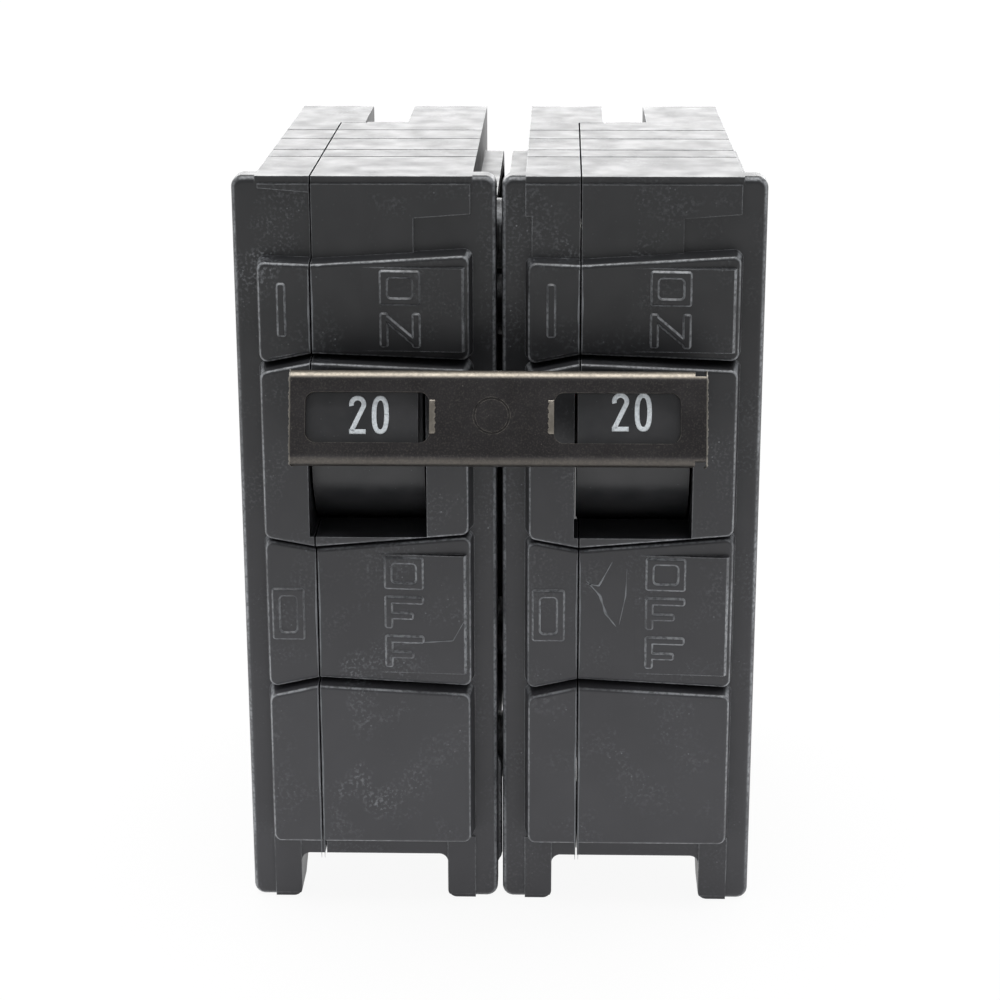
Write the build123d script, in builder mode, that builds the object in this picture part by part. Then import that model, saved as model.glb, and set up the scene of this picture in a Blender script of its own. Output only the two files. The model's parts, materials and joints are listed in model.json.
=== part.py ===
"""Two-pole plug-on branch circuit breaker, 20 A a pole, with a handle tie.

Frame: +Z up along the breaker (line end up, load end with its feet down), the handle side faces -Y,
+X to the right. The origin is under the middle of the bounding box, at the feet. Millimetres.

Each piece of a pole is drawn once about the pole's own centre line and placed in both poles.
Sketches on side_plane read (depth behind the flange, height), on top_plane (across, depth)
and on front_plane (across, height).
"""

from build123d import *
from math import atan2, cos, radians, sin, sqrt, tan
import os

os.makedirs("parts", exist_ok=True)

# ---- driving dimensions -------------------------------------------------------------------------
POLE_PITCH = 25.4        # one inch a pole, as the panel's bus is spaced
HEIGHT = 74.0            # line end to feet
BODY_DEPTH = 47.3        # flange face to back
BODY_WIDTH = 20.4        # moulded body behind the flange
FLANGE_WIDTH = 24.9      # front flange, one pole
FLANGE_THICK = 2.6
FLANGE_CORNER, FLANGE_EDGE = 1.1, 0.7     # rounding of its outline and of its front edge
TIE_REACH = 13.0         # foremost edge of the handle tie, ahead of the flange face
WALL = 1.6               # side walls of the case
BACK_WALL = 2.0
FRONT_WALL = 3.0         # flange and what backs it
PARTING_X = -5.0         # parting plane between cover and base, from the pole's centre
PARTING_GAP = 0.16
EASE = 0.3               # free air between parts that move past each other
RUNNING = 0.05           # radial clearance of pins and shafts

# nose: stepped front of the pole. (left edge, parting plane, right edge) heights of its steps
NOSE_TOP = (66.5, 66.3, 67.2)
ON_FOOT = (56.2, 57.2, 56.6)
MIDDLE_FOOT = (39.1, 38.2, 39.5)
OFF_FOOT = (23.3, 24.4, 23.6)
NOSE_FOOT = (7.0, 7.0, 7.0)
ON_RELIEF, MIDDLE_RELIEF, OFF_RELIEF, LOW_RELIEF = 2.2, 3.2, 2.0, 2.8
NOSE_DRAFT = 7.0         # degrees
NOSE_CORNER, NOSE_EDGE = 0.8, 0.4         # rounding of a step's outline and of its front edge
PANEL_LIFT = 0.6         # the lettered panels tilt out by this much at their right edge
PANEL_ON_X, PANEL_OFF_X = -0.2, 0.5
PAD_RELIEF = 0.35

# load end
FOOT_HEIGHT = 4.8
FOOT_TIP, FOOT_ROOT = 2.5, 11.0          # depth of a front foot at its tip and its root
NOTCH_LEFT, NOTCH_RIGHT = -7.5, 7.4
NOTCH_CORNER = 0.9
FLOOR_Z = 6.8
HOOK_DEPTH = 9.3                         # rear foot, which hooks the mounting rail
RAIL_GAP, RAIL_GAP_DEPTH = 2.6, 4.4

# handle
PIVOT_DEPTH, PIVOT_Z = 7.0, 47.8
HUB_RADIUS = 8.8
HANDLE_WIDTH, HANDLE_X = 10.8, 0.15
HANDLE_TILT = 18.0                       # degrees above square, at ON
SLOT_WIDTH = 11.3
SLOT_EASE = 0.36                         # free air over and under the hub where it enters the slot
NECK_HEIGHT = 7.0
TRUNNION_RADIUS, TRUNNION_END = 2.4, 8.4
SHEET = 0.8                              # handle tie sheet
TIE_HEIGHT, TIE_LIP, TIE_BEND = 8.7, 4.0, 1.0
TIE_PAST_LEFT, TIE_PAST_RIGHT = 6.1, 6.45                 # past the outer poles' centres
LEFT_WINDOW, RIGHT_WINDOW = (-4.7, 6.6), (-7.4, 4.1)      # each from its own pole's centre
WINDOW_HEIGHT = 4.6

# contact arm: hinged in the handle's hub, it presses the moving contact on the fixed one
ARM_PIVOT_OFFSET = 3.5
ARM_THICK, ARM_WIDTH, ARM_LENGTH = 3.0, 4.0, 22.6
CONTACT_REACH, CONTACT_RADIUS, CONTACT_THICK = 20.4, 2.2, 1.1
CONTACT_DEPTH, CONTACT_Z = 27.2, 59.0    # where the arm's centre line passes over the contacts
ARM_PIN_RADIUS = 1.2

# arc chute: slotted plates fanned round the middle of the moving contact's path
ARC_FIRST, ARC_STEP, ARC_COUNT = 45.0, 5.2, 5             # degrees, degrees, plates
ARC_INNER, ARC_SLOT, ARC_OUTER, ARC_SHEET = 16.0, 24.4, 26.0, 0.9
ARC_CHEEK = 1.0

# line end: stab slot, jaw and its strap
STAB_SLOT_X, STAB_SLOT_WIDTH = -0.15, 4.6
STAB_SLOT_DEPTH = 12.8
STAB_SLOT_FOOT = 58.0
JAW_TOP, JAW_SHEET, JAW_SPREAD = 68.0, 1.0, 2.7
STRAP = 1.2                              # copper straps

# trip unit
CRADLE_DEPTH, CRADLE_Z, CRADLE_THICK = 9.5, 29.0, 1.8
LATCH_Z = 33.5
CRADLE_PIN_RADIUS = 1.2
ARMATURE_DEPTH, ARMATURE_THICK = 31.4, 1.2
ARMATURE_PIVOT_Z, ARMATURE_FOOT, ARMATURE_WIDTH = 49.0, 30.0, 10.0
ARMATURE_PIN_RADIUS = 0.8
BIMETAL_DEPTH, BIMETAL_THICK, BIMETAL_WIDTH = 36.0, 1.0, 7.0
BIMETAL_FOOT, BIMETAL_TOP = 27.5, 52.0
YOKE_FOOT, YOKE_TOP, YOKE_SHEET = 36.0, 46.0, 1.2
TRIP_BAR_DEPTH, TRIP_BAR_Z, TRIP_BAR_RADIUS = 25.0, 45.6, 1.65
SPRING_DEPTH, SPRING_WIRE, SPRING_RADIUS = 18.2, 0.5, 1.9

# load terminal
WIRE_DEPTH, WIRE_RADIUS = 33.0, 2.75
LUG_TOP, LUG_BACK, LUG_WIDTH = 22.0, 37.0, 11.0
SCREW_TILT = 40.0                        # degrees from upright, leaning to the front at its head
SCREW_DEPTH, SCREW_Z = 23.5, 9.8         # middle of the head's underside
SCREW_RADIUS, HEAD_RADIUS, HEAD_HEIGHT, SCREW_LENGTH = 1.9, 3.6, 2.8, 8.4
CHAMBER_WALL = 1.2

# rivets that hold cover to base, and one pole to the other: (depth, height)
RIVETS = [(7.5, 67.2), (42.0, 52.5), (7.0, 14.0), (42.4, 14.0)]
RIVET_RADIUS, RIVET_HEAD, RIVET_HEAD_THICK = 1.4, 2.6, 0.8
BOSS_RADIUS = 3.4
RIM_INSET, RIM_WIDTH, RIM_HEIGHT, RIM_CORNER = 4.0, 1.4, 2.0, 5.0

# ---- worked out ---------------------------------------------------------------------------------
FLANGE_Y = (TIE_REACH - BODY_DEPTH) / 2
POLES = {"left": -POLE_PITCH / 2, "right": POLE_PITCH / 2}
HALF_BODY = BODY_WIDTH / 2
HALF_PITCH = POLE_PITCH / 2
INSIDE = HALF_BODY - WALL
CAVITY_BACK = BODY_DEPTH - BACK_WALL
ARC_ANGLES = [radians(ARC_FIRST + ARC_STEP * i) for i in range(ARC_COUNT)]
ARC_HALF = INSIDE - ARC_CHEEK - 0.2
CAVITY_TOP = PIVOT_Z + ARC_OUTER * sin(ARC_ANGLES[-1]) + ARC_SHEET / 2 * cos(ARC_ANGLES[-1]) + EASE
SLOT_HEIGHT = 2 * (SLOT_EASE + sqrt(HUB_RADIUS ** 2 - (PIVOT_DEPTH - FRONT_WALL) ** 2))
TIE_LEFT, TIE_RIGHT = -HALF_PITCH - TIE_PAST_LEFT, HALF_PITCH + TIE_PAST_RIGHT
WINDOW_LEFT = tuple(POLES["left"] + end for end in LEFT_WINDOW)
WINDOW_RIGHT = tuple(POLES["right"] + end for end in RIGHT_WINDOW)
TILT = radians(HANDLE_TILT)
WEB_REACH = TIE_BEND + (TIE_REACH + PIVOT_DEPTH - TIE_BEND
                        - (TIE_HEIGHT / 2 - TIE_BEND) * sin(TILT)) / cos(TILT)
ARM_PIVOT = (PIVOT_DEPTH + ARM_PIVOT_OFFSET * cos(TILT), PIVOT_Z - ARM_PIVOT_OFFSET * sin(TILT))
ARM_ANGLE = atan2(CONTACT_Z - ARM_PIVOT[1], CONTACT_DEPTH - ARM_PIVOT[0])
SCREW_AXIS = (sin(radians(SCREW_TILT)), cos(radians(SCREW_TILT)))


def side_plane(x):
    """Plane across the pole at x, drawn on as (depth, height); its normal is +X."""
    return Plane(origin=(x, FLANGE_Y, 0), x_dir=(0, 1, 0), z_dir=(1, 0, 0))


def top_plane(z):
    """Level plane at height z, drawn on as (across, depth); its normal is +Z."""
    return Plane(origin=(0, FLANGE_Y, z), x_dir=(1, 0, 0), z_dir=(0, 0, 1))


def front_plane(depth):
    """Upright plane at this depth, drawn on as (across, height); its normal faces the front."""
    return Plane(origin=(0, FLANGE_Y + depth, 0), x_dir=(1, 0, 0), z_dir=(0, -1, 0))


def tilted_plane(x, depth, z, along, ahead):
    """Plane across the pole with its own x axis turned to (along, ahead) in depth and height."""
    return Plane(origin=(x, FLANGE_Y + depth, z), x_dir=(0, along, ahead), z_dir=(1, 0, 0))


def handle_plane(x):
    """Plane across the pole at the pivot, drawn on as (reach of the handle, height over it)."""
    return Plane(origin=(x, FLANGE_Y + PIVOT_DEPTH, PIVOT_Z), x_dir=(0, -cos(TILT), sin(TILT)),
                 z_dir=(-1, 0, 0))


def arm_plane(x):
    """Plane across the pole at the arm's pivot, drawn on as (along the arm, over it)."""
    return tilted_plane(x, *ARM_PIVOT, cos(ARM_ANGLE), sin(ARM_ANGLE))


def screw_plane(reach):
    """Plane square to the terminal screw, this far past the underside of its head."""
    depth = SCREW_DEPTH + reach * SCREW_AXIS[0]
    height = SCREW_Z + reach * SCREW_AXIS[1]
    return Plane(origin=(0, FLANGE_Y + depth, height), x_dir=(1, 0, 0), z_dir=(0, *SCREW_AXIS))


def slab(points, low, high, mode=Mode.ADD):
    """Adds a plate of this (depth, height) outline, from low to high across the pole."""
    with BuildSketch(side_plane(low)) as outline:
        with BuildLine():
            Polyline(*points, close=True)
        make_face()
    extrude(outline.sketch, amount=high - low, mode=mode)


def pin(depth, z, radius, low, high, mode=Mode.ADD):
    """Adds a round bar across the pole, from low to high."""
    with BuildSketch(side_plane(low)) as outline:
        with Locations((depth, z)):
            Circle(radius)
    extrude(outline.sketch, amount=high - low, mode=mode)


def block(x_range, depth_range, z_range, mode=Mode.ADD):
    """Adds a box given by its ranges across, in depth and in height."""
    with BuildSketch(top_plane(z_range[0])) as outline:
        with Locations(((x_range[0] + x_range[1]) / 2, (depth_range[0] + depth_range[1]) / 2)):
            Rectangle(x_range[1] - x_range[0], depth_range[1] - depth_range[0])
    extrude(outline.sketch, amount=z_range[1] - z_range[0], mode=mode)


def keep(piece, name, location=(0, 0, 0)):
    """Places a finished piece and writes it under its own name."""
    with BuildPart() as placed:
        with Locations(location):
            add(piece.part)
    placed.part.label = name
    export_step(placed.part, f"parts/{name}.step")


def keep_in_poles(piece, name):
    """Writes the piece once for each pole."""
    for side, centre in POLES.items():
        keep(piece, f"{name}_{side}", (centre, 0, 0))


# ---- case ---------------------------------------------------------------------------------------
def nose_step(top, foot, relief):
    """One drafted step of the nose; its upper and lower edges bend at the parting plane."""
    with BuildPart() as step:
        for depth, inset in ((0, 0), (-relief, relief * tan(radians(NOSE_DRAFT)))):
            side = HALF_BODY - inset
            with BuildSketch(front_plane(depth)):
                with BuildLine():
                    Polyline((-side, foot[0] + inset), (PARTING_X, foot[1] + inset),
                             (side, foot[2] + inset), (side, top[2] - inset),
                             (PARTING_X, top[1] - inset), (-side, top[0] - inset), close=True)
                make_face()
        loft(ruled=True)
        outer = step.edges().filter_by(lambda edge: abs(edge.center().X) > HALF_BODY - 1)
        fillet(outer.filter_by(lambda edge: abs(edge.tangent_at(0).Y) > 0.8), radius=NOSE_CORNER)
        fillet(step.faces().sort_by(Axis.Y)[0].edges(), radius=NOSE_EDGE)
    return step


def lettered_panel(left, top, foot, relief):
    """Wedge that carries lettering: flush at its left edge, lifted at its right one."""
    right = HALF_BODY - relief * sin(radians(NOSE_DRAFT)) - NOSE_EDGE
    with BuildPart() as wedge:
        with BuildSketch(top_plane(foot)) as outline:
            with BuildLine():
                Polyline((left, 0.2 - relief), (left, -relief),
                         (right - PANEL_LIFT / 2, -relief - PANEL_LIFT),
                         (right, -relief - PANEL_LIFT / 2), (right, 0.2 - relief), close=True)
            make_face()
            fillet(outline.vertices().filter_by(lambda v: v.X > right - PANEL_LIFT), radius=0.2)
        extrude(amount=top - foot)
    return wedge


def flange():
    """Front flange with eased edges, cut away between the feet later."""
    with BuildPart() as plate:
        with BuildSketch(front_plane(FLANGE_THICK)):
            with Locations((0, HEIGHT / 2)):
                RectangleRounded(FLANGE_WIDTH, HEIGHT, FLANGE_CORNER)
        extrude(amount=FLANGE_THICK)
        fillet(plate.faces().sort_by(Axis.Y)[0].edges(), radius=FLANGE_EDGE)
    return plate


def flange_pads(cover_pad):
    """Shallow raised pads on the flange over the nose and on the feet."""
    with BuildPart() as pads:
        with BuildSketch(front_plane(0)) as outline:
            with BuildLine():
                Polyline((PARTING_X, NOSE_TOP[1]), (4.65, NOSE_TOP[1]), (4.65, 70.1), (10.0, 70.5),
                         (10.0, HEIGHT - 0.7), (PARTING_X, HEIGHT - 0.7), close=True)
            make_face()
            with BuildLine():
                if cover_pad:
                    Polyline((PARTING_X, NOSE_TOP[1]), (-9.6, NOSE_TOP[1]), (-9.6, 70.3),
                             (-10.2, 70.3), (-10.2, HEIGHT - 0.7), (PARTING_X, HEIGHT - 0.7),
                             close=True)
                else:
                    Polyline((PARTING_X, 72.5), (-9.9, 72.9), (-9.9, HEIGHT - 0.7),
                             (PARTING_X, HEIGHT - 0.7), close=True)
            make_face()
            fillet(outline.vertices().filter_by(lambda v: abs(v.Z - 70.1) < 0.1), radius=0.6)
        extrude(amount=PAD_RELIEF)
        for left, right in ((-HALF_BODY, NOTCH_LEFT), (NOTCH_RIGHT, HALF_BODY)):
            block((left, right), (-0.2, 0), (0.4, NOSE_FOOT[0] - 0.2))
    return pads


def side_rim(inner):
    """Raised rim on one side of the body, a rounded rectangle standing off the side wall."""
    low, high = RIM_INSET + FLANGE_THICK, BODY_DEPTH - RIM_INSET / 2
    with BuildSketch(side_plane(inner)) as outline:
        with Locations(((low + high) / 2, HEIGHT / 2 + FOOT_HEIGHT / 2)):
            RectangleRounded(high - low, HEIGHT - FOOT_HEIGHT - 2 * RIM_INSET, RIM_CORNER)
            RectangleRounded(high - low - 2 * RIM_WIDTH,
                             HEIGHT - FOOT_HEIGHT - 2 * RIM_INSET - 2 * RIM_WIDTH,
                             RIM_CORNER - RIM_WIDTH, mode=Mode.SUBTRACT)
    extrude(outline.sketch, amount=RIM_HEIGHT if inner > 0 else -RIM_HEIGHT)


def load_notch():
    """Notch between the feet, with rounded upper corners and rounded tips on the feet beside it."""
    low, past = -1.0, 2 * NOTCH_CORNER
    with BuildPart() as notch:
        with BuildSketch(front_plane(BODY_DEPTH - HOOK_DEPTH)):
            with BuildLine():
                FilletPolyline((NOTCH_LEFT - past, 0), (NOTCH_LEFT, 0), (NOTCH_LEFT, FOOT_HEIGHT),
                               (NOTCH_RIGHT, FOOT_HEIGHT), (NOTCH_RIGHT, 0),
                               (NOTCH_RIGHT + past, 0), radius=NOTCH_CORNER)
                Polyline((NOTCH_RIGHT + past, 0), (NOTCH_RIGHT + past, low),
                         (NOTCH_LEFT - past, low), (NOTCH_LEFT - past, 0))
            make_face()
        extrude(amount=BODY_DEPTH - HOOK_DEPTH + LOW_RELIEF)
    return notch


def case_outside(cover_pad, inner):
    """Solid outer form of one pole's case; inner is +1 or -1, the side of the other pole."""
    rear_foot = BODY_DEPTH - HOOK_DEPTH
    with BuildPart() as body:
        slab([(0, 0), (FOOT_TIP, 0), (FOOT_ROOT, FOOT_HEIGHT), (rear_foot, FOOT_HEIGHT),
              (rear_foot + 1.2, 0), (BODY_DEPTH, 0), (BODY_DEPTH, HEIGHT), (0, HEIGHT)],
             -HALF_BODY, HALF_BODY)
        fillet(body.edges().filter_by(Axis.X).group_by(Axis.Y)[-1], radius=0.8)
        add(flange().part)
        add(nose_step(NOSE_TOP, ON_FOOT, ON_RELIEF).part)
        add(nose_step(ON_FOOT, MIDDLE_FOOT, MIDDLE_RELIEF).part)
        add(nose_step(MIDDLE_FOOT, OFF_FOOT, OFF_RELIEF).part)
        add(nose_step(OFF_FOOT, NOSE_FOOT, LOW_RELIEF).part)
        add(lettered_panel(PANEL_ON_X, NOSE_TOP[1] - 0.5, ON_FOOT[1] + 0.6, ON_RELIEF).part)
        add(lettered_panel(PANEL_OFF_X, MIDDLE_FOOT[1] - 0.7, OFF_FOOT[1] + 0.9, OFF_RELIEF).part)
        add(flange_pads(cover_pad).part)
        side_rim(HALF_BODY)
        side_rim(-HALF_BODY)
        for depth, z in RIVETS:
            pin(depth, z, BOSS_RADIUS, -HALF_PITCH, HALF_PITCH)
        pin(TRIP_BAR_DEPTH, TRIP_BAR_Z, BOSS_RADIUS, *sorted((0, inner * HALF_PITCH)))
        for depth, deep in ((11.3, 0.35), (15.6, 0.12), (22.8, 0.25), (28.7, 0.25)):
            block((-HALF_BODY, HALF_BODY), (depth, depth + 0.3), (HEIGHT - deep, HEIGHT), Mode.SUBTRACT)
        add(load_notch().part, mode=Mode.SUBTRACT)
        block((-HALF_BODY, HALF_BODY), (rear_foot + 3.6, rear_foot + 3.6 + RAIL_GAP),
              (0, RAIL_GAP_DEPTH), Mode.SUBTRACT)
    return body


def mechanism_cavity():
    """Hollow that holds the mechanism, with its posts and bearing bosses left standing."""
    chamber = CHAMBER_WALL
    with BuildPart() as hollow:
        slab([(FRONT_WALL, FLOOR_Z), (12.2, FLOOR_Z), (14 - chamber, 9.2), (24.8, 24.5 + chamber),
              (38.5 + chamber, 24.5 + chamber), (38.5 + chamber, FLOOR_Z), (CAVITY_BACK, FLOOR_Z),
              (CAVITY_BACK, 56.0), (33.6, 56.0), (33.6, CAVITY_TOP), (FRONT_WALL, CAVITY_TOP)],
             -INSIDE, INSIDE)
        for depth, z in RIVETS:
            pin(depth, z, BOSS_RADIUS - 0.4, -INSIDE, INSIDE, Mode.SUBTRACT)
        for side in (-1, 1):
            ends = sorted((side * INSIDE, side * (HANDLE_WIDTH / 2 + 0.9)))
            pin(PIVOT_DEPTH, PIVOT_Z, TRUNNION_RADIUS + 1.6, *ends, Mode.SUBTRACT)
            ends = sorted((side * INSIDE, 3.4 if side > 0 else PARTING_X))
            pin(CRADLE_DEPTH, CRADLE_Z, CRADLE_PIN_RADIUS + 1.2, *ends, Mode.SUBTRACT)
            ends = sorted((side * INSIDE, side * (ARMATURE_WIDTH / 2 + 2.0)))
            pin(ARMATURE_DEPTH + ARMATURE_THICK / 2, ARMATURE_PIVOT_Z, ARMATURE_PIN_RADIUS + 1.1,
                *ends, Mode.SUBTRACT)
            ends = sorted((side * INSIDE, side * (ARMATURE_WIDTH / 2 + 0.5)))
            block(ends, (BIMETAL_DEPTH + 1.6, BIMETAL_DEPTH + 4.4), (YOKE_FOOT + 2, YOKE_TOP - 2),
                  Mode.SUBTRACT)
        block((-4, 4), (BIMETAL_DEPTH + 5.0, CAVITY_BACK), (29.4, 34.0), Mode.SUBTRACT)
    return hollow


def terminal_chamber():
    """Chamber round the load terminal, open at the load end, with a slot for the strap."""
    with BuildPart() as hollow:
        slab([(14, FLOOR_Z), (14, 8.5), (25.2, 24.5), (38.5, 24.5), (38.5, FLOOR_Z)], -6.5, 6.5)
        block((-5.0, 5.0), (13.0, WIRE_DEPTH + WIRE_RADIUS + 0.75), (0, FLOOR_Z))
        block((-3.7, 3.7), (LUG_BACK - 0.1, LUG_BACK + STRAP + 0.1), (24.5, 24.5 + CHAMBER_WALL))
    return hollow


def line_chamber():
    """Chamber round the jaw and the stab slot that opens it to the line end and the back."""
    floor = BODY_DEPTH - STAB_SLOT_DEPTH
    half = STAB_SLOT_WIDTH / 2
    with BuildPart() as hollow:
        block((STAB_SLOT_X - half, STAB_SLOT_X + half), (floor, BODY_DEPTH), (STAB_SLOT_FOOT, HEIGHT))
        block((STAB_SLOT_X - 5.0, STAB_SLOT_X + 5.0), (floor - 0.6, BODY_DEPTH - 1.8),
              (STAB_SLOT_FOOT, JAW_TOP + 0.4))
        block((-4.2, 4.2), (33.4, floor + 0.2), (STAB_SLOT_FOOT - 1.2, JAW_TOP + 0.4))
    return hollow


def case_holes(inner):
    """Round holes through the case for pins, rivets, the trip bar and the calibration screw."""
    with BuildPart() as holes:
        for depth, z in RIVETS:
            pin(depth, z, RIVET_RADIUS + RUNNING, -HALF_PITCH, HALF_PITCH)
            for end in (-HALF_PITCH, HALF_PITCH - 1.0):
                pin(depth, z, RIVET_HEAD + 0.3, end, end + 1.0)
        pin(TRIP_BAR_DEPTH, TRIP_BAR_Z, TRIP_BAR_RADIUS + RUNNING, *sorted((0, inner * HALF_PITCH)))
        reach = TRUNNION_END + 0.1
        pin(PIVOT_DEPTH, PIVOT_Z, TRUNNION_RADIUS + RUNNING, -reach, reach)
        pin(CRADLE_DEPTH, CRADLE_Z, CRADLE_PIN_RADIUS, -INSIDE, INSIDE)
        pin(ARMATURE_DEPTH + ARMATURE_THICK / 2, ARMATURE_PIVOT_Z, ARMATURE_PIN_RADIUS,
            -INSIDE, INSIDE)
        with BuildSketch(front_plane(BODY_DEPTH)):
            with Locations((0, 31.5)):
                Circle(1.5)
        extrude(amount=BODY_DEPTH - BIMETAL_DEPTH - 4)
        block((HANDLE_X - SLOT_WIDTH / 2, HANDLE_X + SLOT_WIDTH / 2), (-MIDDLE_RELIEF, FRONT_WALL),
              (PIVOT_Z - SLOT_HEIGHT / 2, PIVOT_Z + SLOT_HEIGHT / 2))
    return holes


def cover_region(shift):
    """Everything on the cover's side of the parting, which jogs to the stab slot's left wall."""
    jog = STAB_SLOT_X - STAB_SLOT_WIDTH / 2 + PARTING_GAP
    floor = BODY_DEPTH - STAB_SLOT_DEPTH
    with BuildPart() as region:
        block((-HALF_PITCH, PARTING_X + shift), (-8, BODY_DEPTH), (0, HEIGHT))
        block((-HALF_PITCH, jog + shift), (floor - 0.5 - shift, BODY_DEPTH), (56.6 - shift, HEIGHT))
    return region


def case_halves(cover_pad, inner):
    """Cover and base of one pole, split at the parting."""
    with BuildPart() as shell:
        add(case_outside(cover_pad, inner).part)
        add(mechanism_cavity().part, mode=Mode.SUBTRACT)
        add(terminal_chamber().part, mode=Mode.SUBTRACT)
        add(line_chamber().part, mode=Mode.SUBTRACT)
        add(case_holes(inner).part, mode=Mode.SUBTRACT)
    with BuildPart() as cover:
        add(shell.part)
        add(cover_region(-PARTING_GAP / 2).part, mode=Mode.INTERSECT)
    with BuildPart() as base:
        add(shell.part)
        add(cover_region(PARTING_GAP / 2).part, mode=Mode.SUBTRACT)
    return cover, base


def case_rivets():
    """Four long rivets through both poles, each with a head sunk in the outer bosses."""
    half = POLE_PITCH - 1.0
    with BuildPart() as rivets:
        for depth, z in RIVETS:
            pin(depth, z, RIVET_RADIUS, -half, half)
            for side in (-1, 1):
                ends = sorted((side * half, side * (half + RIVET_HEAD_THICK)))
                pin(depth, z, RIVET_HEAD, *ends)
    return rivets


# ---- handle -------------------------------------------------------------------------------------
def toggle():
    """Moulded handle of one pole: hub, neck and trunnions, with a fork for the contact arm."""
    left, right = HANDLE_X - HANDLE_WIDTH / 2, HANDLE_X + HANDLE_WIDTH / 2
    tip = WEB_REACH - SHEET
    with BuildPart() as handle:
        pin(PIVOT_DEPTH, PIVOT_Z, HUB_RADIUS, left, right)
        with BuildSketch(handle_plane(right)):
            with BuildLine():
                Polyline((0, -4.4), (9.0, -NECK_HEIGHT / 2), (tip, -NECK_HEIGHT / 2),
                         (tip, NECK_HEIGHT / 2), (9.0, NECK_HEIGHT / 2), (0, 4.4), close=True)
            make_face()
        extrude(amount=HANDLE_WIDTH)
        pin(PIVOT_DEPTH, PIVOT_Z, TRUNNION_RADIUS, -TRUNNION_END, TRUNNION_END)
        with BuildSketch(handle_plane(ARM_THICK / 2 + EASE)):
            with BuildLine():
                Polyline((1.2, -5.2), (1.2, 5.2), (-12, HUB_RADIUS + 0.7),
                         (-12, -HUB_RADIUS - 0.7), close=True)
            make_face()
        extrude(amount=ARM_THICK + 2 * EASE, mode=Mode.SUBTRACT)
        pin(*ARM_PIVOT, ARM_PIN_RADIUS, left, right, Mode.SUBTRACT)
        fillet(handle.edges().filter_by(Axis.X).sort_by(Axis.Y)[:2], radius=0.4)
    return handle


def arm_pin():
    """Pin in the hub's fork that the contact arm turns on."""
    with BuildPart() as shaft:
        pin(*ARM_PIVOT, ARM_PIN_RADIUS, HANDLE_X - HANDLE_WIDTH / 2, HANDLE_X + HANDLE_WIDTH / 2)
    return shaft


def tie_web_plane():
    """Outer face of the tie's web, drawn on as (across, up the web)."""
    return Plane(origin=(0, FLANGE_Y + PIVOT_DEPTH - WEB_REACH * cos(TILT),
                         PIVOT_Z + WEB_REACH * sin(TILT)),
                 x_dir=(1, 0, 0), z_dir=(0, -cos(TILT), sin(TILT)))


def handle_tie():
    """Folded sheet channel over both handle tips, with a window for each and a bent end tab."""
    inner = TIE_HEIGHT / 2 - SHEET
    back = WEB_REACH - TIE_LIP
    with BuildPart() as tie:
        with BuildSketch(handle_plane(TIE_RIGHT)) as outer:
            with Locations(((back + WEB_REACH) / 2, 0)):
                Rectangle(TIE_LIP, TIE_HEIGHT)
            fillet(outer.vertices().sort_by(Axis.X)[-2:], radius=TIE_BEND)
        extrude(amount=TIE_RIGHT - TIE_LEFT)
        with BuildSketch(handle_plane(TIE_RIGHT - SHEET)):
            with BuildLine():
                Polyline((back - 1, -inner), (WEB_REACH - SHEET, -inner),
                         (WEB_REACH - SHEET, inner), (back - 1, inner), close=True)
            make_face()
        extrude(amount=TIE_RIGHT - TIE_LEFT, mode=Mode.SUBTRACT)
        for side in (-1, 1):
            with BuildSketch(handle_plane(TIE_RIGHT)):
                with Locations(((back + WEB_REACH) / 2, side * (TIE_HEIGHT / 2 - 0.25))):
                    Rectangle(TIE_LIP, 0.5)
            extrude(amount=SHEET + 0.25, mode=Mode.SUBTRACT)
        for ends in (WINDOW_LEFT, WINDOW_RIGHT):
            with BuildSketch(tie_web_plane()):
                with Locations(((ends[0] + ends[1]) / 2, 0)):
                    RectangleRounded(ends[1] - ends[0], WINDOW_HEIGHT, 0.9)
            extrude(amount=-2 * SHEET, mode=Mode.SUBTRACT)
        for edge in (WINDOW_LEFT[1], WINDOW_RIGHT[0] - SHEET):
            with BuildSketch(tie_web_plane().offset(-SHEET / 2)):
                with Locations((edge + SHEET / 2, 0)):
                    Rectangle(SHEET, WINDOW_HEIGHT - 0.6)
            extrude(amount=-TIE_LIP + SHEET)
        with BuildSketch(tie_web_plane()):
            with Locations((-0.4, 0.2)):
                Circle(1.7)
                Circle(1.5, mode=Mode.SUBTRACT)
        extrude(amount=-0.12, mode=Mode.SUBTRACT)
    return tie


# ---- contacts -----------------------------------------------------------------------------------
def contact_arm():
    """Copper arm from the hub's fork to the moving contact, with a hook for the main spring."""
    half = ARM_WIDTH / 2
    with BuildPart() as arm:
        with BuildSketch(arm_plane(-ARM_THICK / 2)):
            Circle(2.6)
            with BuildLine():
                Polyline((0, -2.4), (12, -half), (ARM_LENGTH, -half), (ARM_LENGTH, 0.4),
                         (ARM_LENGTH - 2, half), (0, 2.4), close=True)
            make_face()
            Circle(ARM_PIN_RADIUS + RUNNING, mode=Mode.SUBTRACT)
        extrude(amount=ARM_THICK)
        slab([(SPRING_DEPTH - 1.6, 46.6), (SPRING_DEPTH + 1.6, 46.6), (SPRING_DEPTH + 2.2, 52.8),
              (SPRING_DEPTH - 2.2, 50.6)], -ARM_THICK / 2, ARM_THICK / 2)
    return arm


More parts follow.
